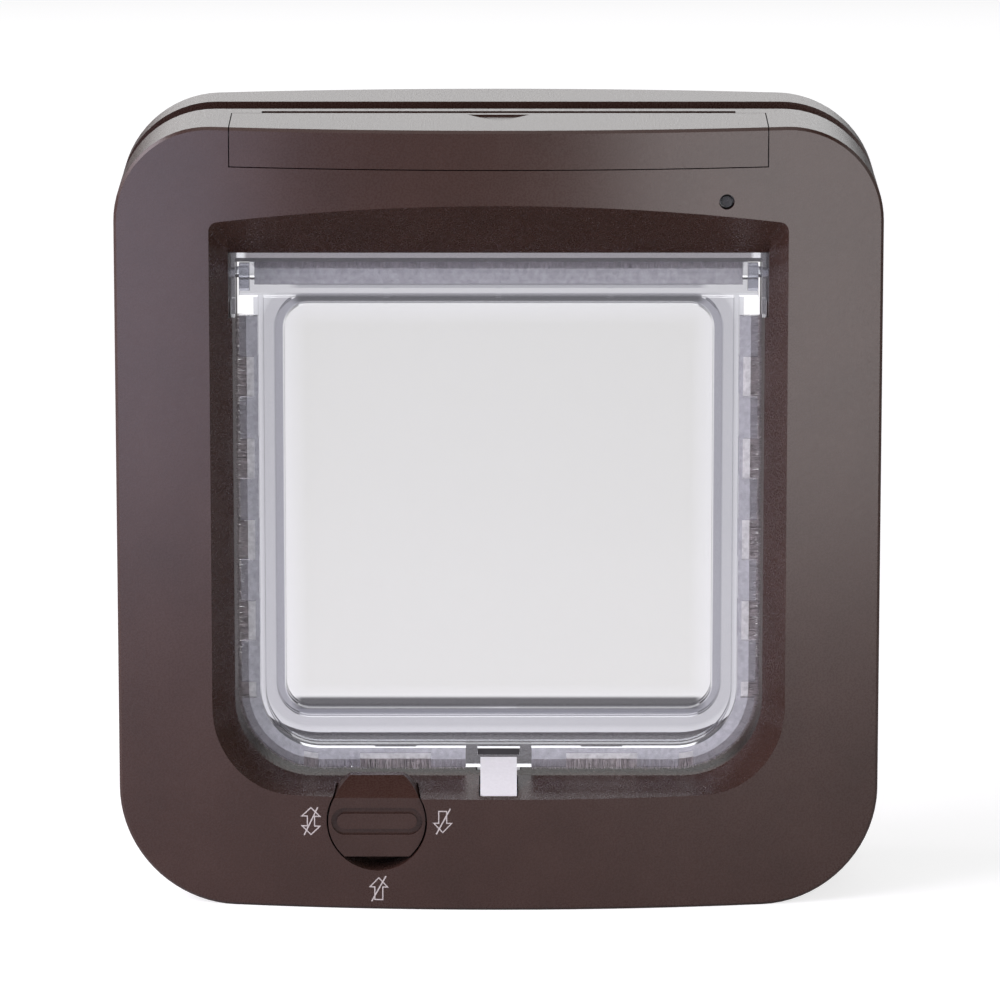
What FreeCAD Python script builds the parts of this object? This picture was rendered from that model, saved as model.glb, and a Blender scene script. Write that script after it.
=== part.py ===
"""Cat flap for a door: a bowed inner housing, a tunnel through the door and an outdoor frame.

Millimetres. +X is right and +Z is up as seen from indoors, and +Y runs outdoors through the door.
The origin is at the middle of the base: the flat lower edges of both frames lie on z = 0.
"""
import FreeCAD, Part
import math
import os

V = FreeCAD.Vector

# Overall form
frame_width = 210.0
frame_height = 218.0
lower_corner_radius = 32.0
upper_corner_radius = 27.0
bow_radius = 460.0
rim_chamfer = 0.8
door_thickness = 12.5
outdoor_depth = 23.5
shell_wall = 2.5
rim_strip = 4.0
back_plate = 2.0
rim_lip_width = 2.2
piece_gap = 0.3
seat_gap = 0.1

# Opening in the housing
opening_side_margin = 32.0
opening_floor = 33.8
opening_top_margin = 36.6
opening_corner_radius = 22.0
opening_edge_radius = 3.5
opening_lead = 4.5
side_slope = 0.504
floor_slope = 0.12
ceiling_slope = 0.87
corner_slope = 0.12
bevel_wall = 2.2
hinge_recess_widening = 1.0
hinge_recess_drop = 18.0

# Tunnel through the door
tunnel_widening = 0.4
tunnel_wall = 2.4
tunnel_drop = 0.5
tunnel_reach = 17.5

# Outdoor frame
outdoor_bevel_setback = 5.7
outdoor_side_slope = 0.8
outdoor_floor_slope = 0.4
outdoor_ceiling_slope = 0.6
outdoor_corner_slope = 0.3
sleeve_wall = 2.2

# Flap
hinge_stand_off = 15.0
hinge_drop = 6.2
flap_side_gap = 1.8
flap_floor_gap = 2.0
flap_panel = 2.0
flap_rim_depth = 6.0
flap_top_radius = 3.4
rim_wall = 1.2
rim_channel_depth = 5.2
rim_web = 1.4
window_side_margin = 12.3
window_floor_margin = 16.8
window_top_margin = 8.3
window_rib = 2.5
window_rib_depth = 6.0
window_corner_radius = 7.0
side_lug_length = 11.6
side_lug_top_margin = 17.4
side_lug_floor_margin = 30.2
side_lug_count = 5
corner_lug_height = 19.8
corner_lug_inset = 17.1
floor_lug_inner = 13.0
floor_lug_inset = 26.9
floor_lug_length = 11.6
top_rib_count = 5
top_rib_inset = 9.8
top_rib_width = 1.6
top_rib_rise = 0.5
top_channel_depth = 6.6
top_channel_wall = 1.4
pile_stand = 1.3
pile_thickness = 2.2
brush_clearance = 0.2

# Flap pivots
pivot_pin_radius = 1.5
pivot_running_gap = 0.05
clip_width = 2.8
clip_drop = 4.7
clip_depth = 5.0
carrier_bar_depth = 9.5
carrier_bar_front = 0.5
carrier_bar_height = 2.5
bracket_thickness = 1.8
bracket_foot_thickness = 1.2
bracket_depth = 10.0
bracket_height = 13.6
bracket_step = 2.2

# Latches
latch_width = 10.1
latch_slot_gap = 0.35
latch_front_setback = 3.2
latch_front_drop = 2.6
latch_tip_rise = 5.0
latch_tip_gap = 0.4
latch_head_underside = 30.0
latch_stem_sink = 0.3
latch_stem_depth = 6.5
latch_stem_foot = 11.0
latch_travel = 7.5
magnet_rise = 3.6
magnet_half_width = 5.8
magnet_cheek = 3.3
magnet_height = 1.7
magnet_depth = 3.4
floor_magnet_length = 18.0
floor_magnet_height = 2.6
outer_latch_width = 12.0
outer_latch_depth = 4.2
outer_latch_foot = 13.0
outer_latch_foot_height = 2.0
outer_latch_foot_reach = 1.5
outer_latch_chamfer = 1.0
outer_latch_travel = 7.0
outer_latch_setback = 0.8
chassis_wall = 1.6

# Rack, pinion and motor
gear_module = 0.8
pressure_angle = 20.0
dedendum = 1.25
pinion_teeth = 12
pinion_height = 16.2
flank_steps = 2
rack_pitch_line = 7.2
rack_end_clearance = 1.0
gear_width = 4.5
gear_backlash = 0.16
pinion_shaft_radius = 1.2
pinion_shaft_length = 1.5
motor_stand_off = 1.0
motor_bore_depth = 1.0
motor_width = 12.0
motor_height = 10.0
gearbox_length = 8.0
motor_can_length = 11.0
cradle_inset = 2.0

# Lock knob
knob_x = -33.6
knob_height = 25.0
knob_radius = 13.4
knob_seat_gap = 0.5
knob_front_setback = 1.8
knob_seat_setback = 13.0
knob_flat_above = 11.2
knob_flat_below = 10.0
knob_facet_start = 6.68
knob_facet_depth = 7.8
knob_grip_length = 22.0
knob_grip_height = 4.4
knob_grip_groove = 1.6
knob_grip_recess = 1.0
knob_seat_wall = 1.6
knob_stem_radius = 2.5
knob_cam_radius = 5.2
knob_cam_thickness = 2.4
knob_notch_depth = 0.9
knob_notch_count = 4

# Battery compartment
cover_side_margin = 32.0
cover_front_height = 10.6
cover_back_margin = 7.5
cover_thickness = 2.2
cover_rail_inset = 2.0
cover_rail_width = 1.6
cover_rail_depth = 1.3
cover_groove_depth = 1.2
cover_groove_inset = 8.0
cover_mark_half_width = 8.5
cover_mark_length = 12.0
cover_mark_setback = 16.0
cover_mark_depth = 0.5
cell_radius = 7.1
cell_length = 49.2
cell_nub_radius = 2.7
cell_nub_length = 1.3
cell_row_gap = 0.4
cell_front_gap = 0.32
cell_clearance = 0.2
tray_wall = 1.6
tray_end_room = 5.6
contact_thickness = 0.5
contact_end_margin = 1.0
contact_leaf_width = 8.0
contact_leaf_fold = 1.0
contact_tip_half = 0.6

# Electronics
light_outset = 4.2
light_drop = 20.1
light_hole_radius = 2.1
light_pipe_radius = 1.5
light_recess = 0.6
light_collar_half = 2.2
light_collar_thickness = 1.0
board_inset = 1.1
board_side_margin = 13.0
board_height = 20.9
board_drop = 9.5
board_thickness = 1.6
board_stand_off = 10.0
diode_size = 2.0
diode_depth = 1.2
learn_outset = 4.0
learn_radius = 2.6
learn_flange_half = 3.6
learn_flange_thickness = 1.0
learn_travel = 0.8
switch_size = 6.0
switch_height = 3.6
switch_drop = 1.0
coil_width = 3.6
coil_thickness = 2.2
coil_latch_gap = 0.6

# Fasteners
clamp_side_margin = 14.5
clamp_floor_margin = 38.0
clamp_top_margin = 36.0
clamp_boss_half = 5.0
clamp_boss_end = 4.0
clamp_screw_radius = 1.9
clamp_head_radius = 3.8
clamp_head_height = 2.6
clamp_head_sink = 7.0
clamp_bite = 12.0
cap_radius = 5.0
cap_thickness = 1.6
closing_side_margin = 13.5
closing_boss_half = 3.8
closing_screw_radius = 1.4
closing_head_radius = 2.6
closing_head_height = 1.2
closing_screw_length = 12.0
thread_gap = 0.04
cut_over = 1.0


def bow_sag(x):
    """How far a bowed face has fallen back from its crown at x."""
    return bow_radius - math.sqrt(bow_radius**2 - x**2)


# Depths: two rows of AA cells behind the bowed cover set how deep the housing is
cell_half_row = cell_length + cell_nub_length
cell_pitch = 2.0 * cell_radius + cell_row_gap
cell_row_setback = bow_sag(cell_half_row) + cover_thickness + cell_front_gap + cell_radius
tray_depth = cell_row_setback + cell_pitch + cell_radius + cell_clearance
housing_depth = tray_depth + tray_wall + seat_gap + back_plate
total_depth = housing_depth + door_thickness + outdoor_depth

# Planes and lines worked out from the sizes above
front_y = -total_depth / 2.0
back_y = front_y + housing_depth
outdoor_y = back_y + door_thickness
rear_y = total_depth / 2.0
rim_y = back_y - rim_strip
plate_y = back_y - back_plate
hinge_y = back_y - hinge_stand_off
inner_y = hinge_y - opening_lead
bevel_depth = inner_y - front_y
flap_front_y = hinge_y - flap_rim_depth / 2.0
flap_back_y = hinge_y + flap_rim_depth / 2.0
tunnel_end_y = outdoor_y + tunnel_reach
tunnel_floor = opening_floor - tunnel_drop
opening_half_width = frame_width / 2.0 - opening_side_margin
opening_ceiling = frame_height - opening_top_margin
hinge_recess_half_width = opening_half_width + hinge_recess_widening
hinge_recess_floor = opening_ceiling - hinge_recess_drop
tunnel_half_width = opening_half_width + tunnel_widening
hinge_height = opening_ceiling - hinge_drop
flap_half_width = opening_half_width - flap_side_gap
flap_floor = opening_floor + flap_floor_gap
window_half_width = flap_half_width - window_side_margin
window_floor = flap_floor + window_floor_margin
window_ceiling = hinge_height - window_top_margin
clamp_x = frame_width / 2.0 - clamp_side_margin
clamp_heights = (clamp_floor_margin, frame_height - clamp_top_margin)
closing_x = frame_width / 2.0 - closing_side_margin
closing_height = frame_height / 2.0
cover_half_width = frame_width / 2.0 - cover_side_margin
cover_front_floor = frame_height - cover_front_height
cover_back_y = back_y - cover_back_margin
cover_underside = frame_height - cover_thickness
shelf_top = cover_underside - piece_gap
shelf_bottom = shelf_top - tray_wall
tray_half_width = cell_half_row + tray_end_room
tray_back_y = front_y + tray_depth
cell_row_y = front_y + cell_row_setback
cell_height = shelf_top - cell_clearance - cell_radius
tray_floor = cell_height - cell_radius - cell_clearance
light_x = tray_half_width + tray_wall + light_outset
light_height = frame_height - light_drop
board_y = back_y - board_stand_off
board_left = light_x - board_inset
board_right = frame_width / 2.0 - board_side_margin
board_ceiling = frame_height - board_drop
board_floor = board_ceiling - board_height
learn_x = light_x + learn_outset
learn_y = board_y - switch_size / 2.0
switch_top = board_ceiling - switch_drop
knob_seat_y = front_y + knob_seat_setback
knob_cam_y = knob_seat_y + knob_seat_wall + seat_gap
side_lug_first = flap_floor + side_lug_floor_margin
side_lug_pitch = (hinge_height - side_lug_top_margin - side_lug_first) / (side_lug_count - 1)
floor_lug_outer = flap_half_width - floor_lug_inset
top_rib_pitch = (flap_half_width - top_rib_inset) / (top_rib_count // 2)
top_channel_floor = hinge_height - top_channel_depth + top_channel_wall + flap_panel
flap_corner_radius = opening_corner_radius
magnet_floor = flap_floor + magnet_rise
pile_front_y = hinge_y - pile_thickness / 2.0
pile_back_y = hinge_y + pile_thickness / 2.0
brush_half_width = flap_half_width - clip_width - top_channel_wall - brush_clearance
outer_latch_y = flap_back_y + outer_latch_setback
coil_y = outer_latch_y - coil_latch_gap - coil_width
latch_y = front_y + latch_front_setback
latch_low = latch_head_underside - latch_travel
stem_y0 = latch_y + latch_stem_sink
stem_y1 = stem_y0 + latch_stem_depth
gear_y0 = stem_y0 + (latch_stem_depth - gear_width) / 2.0
gear_y1 = gear_y0 + gear_width
motor_y0 = gear_y1 + motor_stand_off
motor_y1 = motor_y0 + gearbox_length + motor_can_length
pitch_radius = gear_module * pinion_teeth / 2.0
tooth_pitch = math.pi * gear_module
pinion_x = rack_pitch_line + pitch_radius
rack_root_x = rack_pitch_line - dedendum * gear_module
front_slopes = (side_slope, floor_slope, ceiling_slope, corner_slope)
outdoor_slopes = (outdoor_side_slope, outdoor_floor_slope, outdoor_ceiling_slope, outdoor_corner_slope)
far = 60.0
quarter_turn = 90.0


def box(x0, x1, y0, y1, z0, z1):
    """Block between two opposite corners."""
    return Part.makeBox(x1 - x0, y1 - y0, z1 - z0, V(x0, y0, z0))


def bore(x, z, radius, y0, y1):
    """Round bar along Y, as a bore's tool or a screw's shank."""
    return Part.makeCylinder(radius, y1 - y0, V(x, y0, z), V(0, 1, 0))


def rod(radius, start, end):
    """Round bar between two points."""
    run = end - start
    return Part.makeCylinder(radius, run.Length, start, run)


def outline(half_width, low, high, low_radius, high_radius, y):
    """Rounded rectangle, upright in the plane at y."""
    corners = (
        (half_width - low_radius, low + low_radius, low_radius),
        (half_width - high_radius, high - high_radius, high_radius),
        (high_radius - half_width, high - high_radius, high_radius),
        (low_radius - half_width, low + low_radius, low_radius),
    )
    edges = []
    last = None
    first = None
    for n, (x, z, radius) in enumerate(corners):
        points = []
        for share in (0.0, 0.5, 1.0):
            angle = math.radians((n - 1 + share) * quarter_turn)
            points.append(V(x + radius * math.cos(angle), y, z + radius * math.sin(angle)))
        if last:
            edges.append(Part.makeLine(last, points[0]))
        else:
            first = points[0]
        edges.append(Part.Arc(points[0], points[1], points[2]).toShape())
        last = points[2]
    edges.append(Part.makeLine(last, first))
    return Part.Wire(edges)


def slab(half_width, low, high, low_radius, high_radius, y0, y1):
    """Rounded rectangle pushed from y0 to y1."""
    face = Part.Face(outline(half_width, low, high, low_radius, high_radius, y0))
    return face.extrude(V(0, y1 - y0, 0))


def polygon_prism(points, start, run):
    """Prism of a closed polygon given as vectors, pushed along run from start."""
    wire = Part.makePolygon([p + start for p in points + points[:1]])
    return Part.Face(wire).extrude(run)


def on_side(shape, side):
    """A piece drawn at the right, or its mirror image at the left where side is negative."""
    return shape if side > 0 else shape.mirror(V(0, 0, 0), V(1, 0, 0))


def post(x, z, half, y0, y1):
    """Square post along Y."""
    return box(x - half, x + half, y0, y1, z - half, z + half)


def fuse_all(shapes):
    """One solid from several that meet."""
    return shapes[0].multiFuse(shapes[1:]).removeSplitter()


def bowed_slab(inset, crown_y, flat_y):
    """Frame-sized rounded slab with one bowed face, every side moved in by inset."""
    outward = 1.0 if flat_y > crown_y else -1.0
    body = slab(
        frame_width / 2.0 - inset,
        inset,
        frame_height - inset,
        lower_corner_radius - inset,
        upper_corner_radius - inset,
        crown_y,
        flat_y,
    )
    axis_y = crown_y + outward * bow_radius
    drum = Part.makeCylinder(bow_radius - inset, frame_height + far, V(0, axis_y, -far / 2.0))
    return body.common(drum)


def bowed_block(crown_y, flat_y):
    """The frame's outer form, with its bowed face eased all round by a small chamfer."""
    body = bowed_slab(0.0, crown_y, flat_y)
    bowed = [f for f in body.Faces if isinstance(f.Surface, Part.Cylinder) and f.Surface.Radius > frame_width]
    return body.makeChamfer(rim_chamfer, bowed[0].Edges)


def bevel_cut(grow, near_y, far_y, slopes, ceiling):
    """Tapering plug of an opening, from near_y at its inner edge out past the face at far_y."""
    reach = abs(far_y - near_y)
    side, floor, top, corner = slopes
    near = outline(
        opening_half_width + grow,
        opening_floor - grow,
        ceiling + grow,
        opening_corner_radius + grow,
        opening_edge_radius / 2.0 + grow,
        near_y,
    )
    wide = outline(
        opening_half_width + grow + side * reach,
        opening_floor - grow - floor * reach,
        ceiling + grow + top * reach,
        opening_corner_radius + grow + corner * reach,
        opening_edge_radius + grow,
        far_y,
    )
    return Part.makeLoft([near, wide], True, True)


def face_y(x):
    """Depth of the bowed front face at x."""
    return front_y + bow_sag(x)


def rear_face_y(x):
    """Depth of the bowed outdoor face at x."""
    return rear_y - bow_sag(x)


def clamp_places():
    """The four clamp screw axes."""
    return [(side * clamp_x, z) for side in (-1.0, 1.0) for z in clamp_heights]


def closing_places():
    """The closing screw axes, one halfway up each side."""
    return [(side * closing_x, closing_height) for side in (-1.0, 1.0)]


# Front housing

def cover_block(gap):
    """The L-shaped block that the battery cover takes out of the housing's top edge."""
    block = box(
        -cover_half_width - gap,
        cover_half_width + gap,
        front_y - far,
        cover_back_y + gap,
        cover_front_floor - gap,
        frame_height + far,
    )
    return block


def cover_core(gap):
    """What lies behind the cover's front lip and below its top, kept away from it by a gap."""
    core = bowed_slab(cover_thickness + gap, front_y, back_y)
    return core.common(box(-far * 2, far * 2, front_y, back_y, 0, cover_underside))


def cover_rail(side, gap, front_end, high):
    """Rail on the shelf under one end of the cover, which it guides as the cover slides off forwards."""
    x = cover_half_width - cover_rail_inset
    half = cover_rail_width / 2.0 + gap
    return on_side(box(x - half, x + half, front_end, cover_back_y + gap, shelf_bottom, high), side)


def knob_seat_cut():
    """Round well that the knob sits in."""
    return bore(knob_x, knob_height, knob_radius + knob_seat_gap, front_y - far, knob_seat_y)


def latch_slot_cut():
    """Slot for the inner latch, through the bevel and the tunnel's floor."""
    half = latch_width / 2.0 + latch_slot_gap
    return box(
        -half,
        half,
        latch_y - latch_slot_gap,
        flap_front_y,
        latch_low,
        opening_floor + latch_travel,
    )


def opening_plug():
    """Everything the opening takes away from the front housing."""
    bevel = bevel_cut(0.0, inner_y, front_y - bevel_depth, front_slopes, opening_ceiling)
    reach = 2.0 * bevel_depth
    recess = polygon_prism(
        [
            V(0, inner_y, hinge_recess_floor),
            V(0, inner_y, opening_ceiling),
            V(0, inner_y - reach, opening_ceiling + ceiling_slope * reach),
            V(0, inner_y - reach, hinge_recess_floor),
        ],
        V(-hinge_recess_half_width, 0, 0),
        V(2.0 * hinge_recess_half_width, 0, 0),
    )
    return bevel.fuse(recess)


def battery_tray():
    """Floor, ends, back and shelf of the battery compartment, inside the shell."""
    block = box(
        -tray_half_width - tray_wall,
        tray_half_width + tray_wall,
        front_y,
        tray_back_y + tray_wall,
        tray_floor - tray_wall,
        shelf_top,
    )
    shelf = box(
        -cover_half_width - shell_wall,
        cover_half_width + shell_wall,
        front_y,
        tray_back_y + tray_wall,
        shelf_bottom,
        shelf_top,
    )
    room = box(
        -tray_half_width,
        tray_half_width,
        front_y - cut_over,
        tray_back_y,
        tray_floor,
        shelf_top + cut_over,
    )
    return block.fuse(shelf).cut(room)


def front_housing():
    """Hollow bowed frame with its bevelled opening, knob well, battery tray and closing bosses."""
    shell = bowed_block(front_y, rim_y).cut(bowed_slab(shell_wall, front_y, rim_y))
    funnel = bevel_cut(bevel_wall, inner_y, front_y - bevel_depth, front_slopes, opening_ceiling)
    recess_wall = box(
        -hinge_recess_half_width - bevel_wall,
        hinge_recess_half_width + bevel_wall,
        front_y,
        inner_y,
        hinge_recess_floor - bevel_wall,
        opening_ceiling + bevel_wall,
    )
    seat_radius = knob_radius + knob_seat_gap + knob_seat_wall
    seat_wall = bore(knob_x, knob_height, seat_radius, front_y, knob_seat_y + knob_seat_wall)
    inner_parts = [funnel, recess_wall, seat_wall, battery_tray()]
    for x, z in closing_places():
        inner_parts.append(post(x, z, closing_boss_half, front_y, plate_y))
    rail_end = face_y(cover_half_width) + cover_thickness + 2.0 * piece_gap
    rail_top = shelf_top + cover_rail_depth
    rails = [cover_rail(side, 0.0, rail_end, rail_top) for side in (-1.0, 1.0)]
    within = bowed_slab(rim_chamfer, front_y, plate_y)
    body = fuse_all([shell] + [part.common(within) for part in inner_parts])
    body = body.cut(opening_plug()).cut(knob_seat_cut()).cut(latch_slot_cut())
    body = body.cut(cover_block(piece_gap).cut(cover_core(piece_gap)))
    body = fuse_all([body] + rails)
    stem = bore(knob_x, knob_height, knob_stem_radius + pivot_running_gap, front_y, inner_y)
    light = bore(light_x, light_height, light_hole_radius, front_y - cut_over, board_y)
    learn = rod(
        learn_radius + piece_gap,
        V(learn_x, learn_y, shelf_bottom - cut_over),
        V(learn_x, learn_y, shelf_top + cut_over),
    )
    body = body.cut(stem).cut(light).cut(learn)
    for x, z in closing_places():
        tip_y = plate_y - closing_screw_length
        body = body.cut(bore(x, z, closing_screw_radius + thread_gap, tip_y, plate_y + cut_over))
    groove = box(
        cover_groove_inset - cover_half_width,
        cover_half_width - cover_groove_inset,
        cover_back_y,
        rim_y,
        frame_height - cover_groove_depth,
        frame_height + cut_over,
    )
    return body.cut(groove)


def battery_cover():
    """L-shaped cover over the top and the upper front edge, grooved for two rails, with a sunk triangle."""
    outer = bowed_block(front_y, rim_y)
    cover = outer.common(cover_block(0.0)).cut(cover_core(0.0))
    groove_end = face_y(cover_half_width) + cover_thickness + piece_gap
    groove_top = cover_underside + cover_rail_depth
    for side in (-1.0, 1.0):
        cover = cover.cut(cover_rail(side, piece_gap, groove_end, groove_top))
    base_y = front_y + cover_mark_setback + cover_mark_length
    mark = polygon_prism(
        [
            V(-cover_mark_half_width, base_y, 0),
            V(cover_mark_half_width, base_y, 0),
            V(0, base_y - cover_mark_length, 0),
        ],
        V(0, 0, frame_height - cover_mark_depth),
        V(0, 0, far),
    )
    return cover.cut(mark)


# Rear housing

def tunnel_slab(grow, y0, y1):
    """Slab of the tunnel's inner outline, every side moved out by grow."""
    return slab(
        tunnel_half_width + grow,
        tunnel_floor - grow,
        opening_ceiling + grow,
        opening_corner_radius + grow,
        opening_edge_radius / 2.0 + grow,
        y0,
        y1,
    )


def outer_latch_box(gap, low, high):
    """Upright block of the outer latch's cross-section."""
    half = outer_latch_width / 2.0 + gap
    return box(-half, half, outer_latch_y - gap, outer_latch_y + outer_latch_depth + gap, low, high)


def rear_housing():
    """Back plate with its rim strip, the tunnel through the door and the clamp screws' posts."""
    plate = slab(
        frame_width / 2.0,
        0.0,
        frame_height,
        lower_corner_radius,
        upper_corner_radius,
        rim_y,
        back_y,
    )
    inset = rim_lip_width
    plate = plate.cut(
        slab(
            frame_width / 2.0 - inset,
            inset,
            frame_height - inset,
            lower_corner_radius - inset,
            upper_corner_radius - inset,
            rim_y,
            plate_y,
        )
    )
    parts = [plate, tunnel_slab(tunnel_wall, inner_y, tunnel_end_y)]
    for x, z in clamp_places():
        parts.append(post(x, z, clamp_boss_half, back_y - clamp_bite - clamp_boss_end, back_y))
    body = fuse_all(parts)
    body = body.cut(tunnel_slab(0.0, inner_y - cut_over, tunnel_end_y + cut_over))
    recess = box(
        -hinge_recess_half_width,
        hinge_recess_half_width,
        inner_y - cut_over,
        inner_y - carrier_bar_front + bracket_depth,
        hinge_recess_floor,
        opening_ceiling,
    )
    body = body.cut(recess)
    body = body.cut(latch_slot_cut())
    body = body.cut(outer_latch_box(piece_gap, 0.0, opening_floor + tunnel_wall))
    for x, z in clamp_places():
        body = body.cut(bore(x, z, clamp_screw_radius + thread_gap, back_y - clamp_bite, back_y + cut_over))
    for x, z in closing_places():
        seat_y = back_y - closing_head_height
        body = body.cut(bore(x, z, closing_screw_radius + piece_gap, plate_y - cut_over, back_y))
        body = body.cut(bore(x, z, closing_head_radius + piece_gap, seat_y, back_y + cut_over))
    return body


# Outdoor frame

def exterior_frame():
    """Outdoor frame: a bowed shell with its own bevelled opening, a sleeve on the tunnel and screw wells."""
    outer = bowed_block(rear_y, outdoor_y)
    body = outer.cut(bowed_slab(shell_wall, rear_y, outdoor_y))
    edge_y = rear_y - outdoor_bevel_setback
    parts = [tunnel_slab(tunnel_wall + piece_gap + sleeve_wall, outdoor_y, rear_y)]
    for x, z in clamp_places():
        parts.append(post(x, z, cap_radius + seat_gap + shell_wall, outdoor_y, rear_y))
    within = bowed_slab(rim_chamfer, rear_y, outdoor_y)
    body = fuse_all([body] + [part.common(within) for part in parts])
    body = body.cut(tunnel_slab(tunnel_wall + piece_gap, outdoor_y - cut_over, tunnel_end_y + piece_gap))
    body = body.cut(tunnel_slab(0.0, outdoor_y - cut_over, edge_y))
    body = body.cut(bevel_cut(0.0, edge_y, rear_y + outdoor_bevel_setback, outdoor_slopes, opening_ceiling))
    for x, z in clamp_places():
        seat_y = rear_face_y(x) - clamp_head_sink
        body = body.cut(bore(x, z, clamp_screw_radius + piece_gap, outdoor_y - cut_over, seat_y))
        body = body.cut(bore(x, z, cap_radius + seat_gap, seat_y, rear_y + cut_over))
    return body


def screw_caps():
    """Round caps that close the four clamp screw wells, flush with the bowed face."""
    outer = bowed_slab(0.0, rear_y, outdoor_y)
    caps = []
    for x, z in clamp_places():
        inner_end = rear_face_y(abs(x) + cap_radius) - cap_thickness
        caps.append(bore(x, z, cap_radius, inner_end, rear_y).common(outer))
    return Part.makeCompound(caps)


def screw(x, z, tip_y, seat_y, radius, head_radius, head_height):
    """Pan-headed screw along Y with its head towards the outdoors."""
    shank = bore(x, z, radius, tip_y, seat_y)
    return shank.fuse(bore(x, z, head_radius, seat_y, seat_y + head_height))


def clamp_screws():
    """Four screws that pull the outdoor frame and the rear housing together on the door."""
    screws = []
    for x, z in clamp_places():
        seat_y = rear_face_y(x) - clamp_head_sink
        tip_y = back_y - clamp_bite
        screws.append(screw(x, z, tip_y, seat_y, clamp_screw_radius, clamp_head_radius, clamp_head_height))
    return Part.makeCompound(screws)


def closing_screws():
    """Two small screws that close the front housing on the rear one."""
    tip_y = plate_y - closing_screw_length
    seat_y = back_y - closing_head_height
    screws = []
    for x, z in closing_places():
        screws.append(
            screw(x, z, tip_y, seat_y, closing_screw_radius, closing_head_radius, closing_head_height)
        )
    return Part.makeCompound(screws)


# Flap

def flap_slab(inset, y0, y1, top):
    """Slab of the flap's outline moved in by inset, with a square top."""
    body = slab(
        flap_half_width - inset,
        flap_floor + inset,
        top + far,
        flap_corner_radius - inset,
        opening_edge_radius,
        y0,
        y1,
    )
    return body.common(box(-far * 2, far * 2, y0, y1, 0, top))


def rim_ring(inset, width, y0, y1):
    """Band that follows the flap's sides and bottom."""
    return flap_slab(inset, y0, y1, hinge_height).cut(flap_slab(inset + width, y0, y1, hinge_height))


def side_lug_zones(shift, count, grow):
    """Level bands across the flap where a side wall of its rim stands."""
    bands = []
    half = side_lug_length / 2.0 + grow
    for n in range(count):
        z = side_lug_first + shift + n * side_lug_pitch
        bands.append(box(-far * 2, far * 2, -far, far, z - half, z + half))
    return bands


def floor_lug_zones(places, grow):
    """Upright bands across the flap where a bottom wall of its rim stands."""
    bands = []
    half = floor_lug_length / 2.0 + grow
    top = flap_floor + rim_channel_depth + rim_web
    for x in places:
        for place in (-x, x):
            bands.append(box(place - half, place + half, -far, far, 0, top))
    return bands


def corner_lug_zones():
    """Bands where the front wall runs unbroken round the flap's lower corners."""
    start = flap_half_width - corner_lug_inset
    corner = box(start, far * 2, -far, far, 0, flap_floor + corner_lug_height)
    return [on_side(corner, side) for side in (-1.0, 1.0)]


def window_ring(y0, y1):
    """Rib that frames the flap's clear window."""
    outer = slab(
        window_half_width + window_rib,
        window_floor - window_rib,
        window_ceiling + window_rib,
        window_corner_radius + window_rib,
        window_corner_radius + window_rib,
        y0,
        y1,
    )
    inner = slab(
        window_half_width,
        window_floor,
        window_ceiling,
        window_corner_radius,
        window_corner_radius,
        y0,
        y1,
    )
    return outer.cut(inner)


def clip_lug(gap, x0, x1, crown):
    """Lug rounded about the hinge axis, with straight sides below it, grown by gap."""
    half = clip_depth / 2.0 + gap
    round_top = Part.makeCylinder(half, x1 - x0, V(x0, hinge_y, hinge_height), V(1, 0, 0))
    low = hinge_height - clip_drop - gap
    return round_top.fuse(box(x0, x1, hinge_y - half, hinge_y + half, low, hinge_height + crown))


def flap_rim():
    """Walls of the channel round the flap's sides and bottom, staggered front and back over the pile."""
    reach = rim_channel_depth + rim_web
    web = rim_ring(rim_channel_depth, rim_web, flap_front_y, flap_back_y)
    front_rail = rim_ring(rim_channel_depth - rim_wall, rim_web, flap_front_y, pile_front_y - seat_gap)
    front_zones = side_lug_zones(0.0, side_lug_count, 0.0)
    front_zones += floor_lug_zones((floor_lug_inner, floor_lug_outer), 0.0)
    front_zones += corner_lug_zones()
    back_zones = side_lug_zones(side_lug_pitch / 2.0, side_lug_count - 1, -rim_wall / 2.0)
    back_zones += floor_lug_zones(((floor_lug_inner + floor_lug_outer) / 2.0,), 0.0)
    front_wall = rim_ring(0.0, reach, flap_front_y, pile_front_y - seat_gap)
    back_wall = rim_ring(0.0, reach, pile_back_y + seat_gap, flap_back_y)
    parts = [web, front_rail]
    for wall, zones in ((front_wall, front_zones), (back_wall, back_zones)):
        parts.extend(wall.common(Part.makeCompound(zones)).Solids)
    return parts


def flap_head():
    """Rounded head of the flap, ribbed at the front."""
    low = hinge_height - top_channel_depth
    crown = rod(
        flap_top_radius,
        V(-flap_half_width, hinge_y, hinge_height),
        V(flap_half_width, hinge_y, hinge_height),
    )
    parts = [crown, box(-flap_half_width, flap_half_width, flap_front_y, flap_back_y, low, hinge_height)]
    for n in range(top_rib_count):
        x = (n - (top_rib_count - 1) / 2.0) * top_rib_pitch
        half = top_rib_width / 2.0
        parts.append(box(x - half, x + half, flap_front_y - top_rib_rise, hinge_y, low, hinge_height))
    return parts


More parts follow.
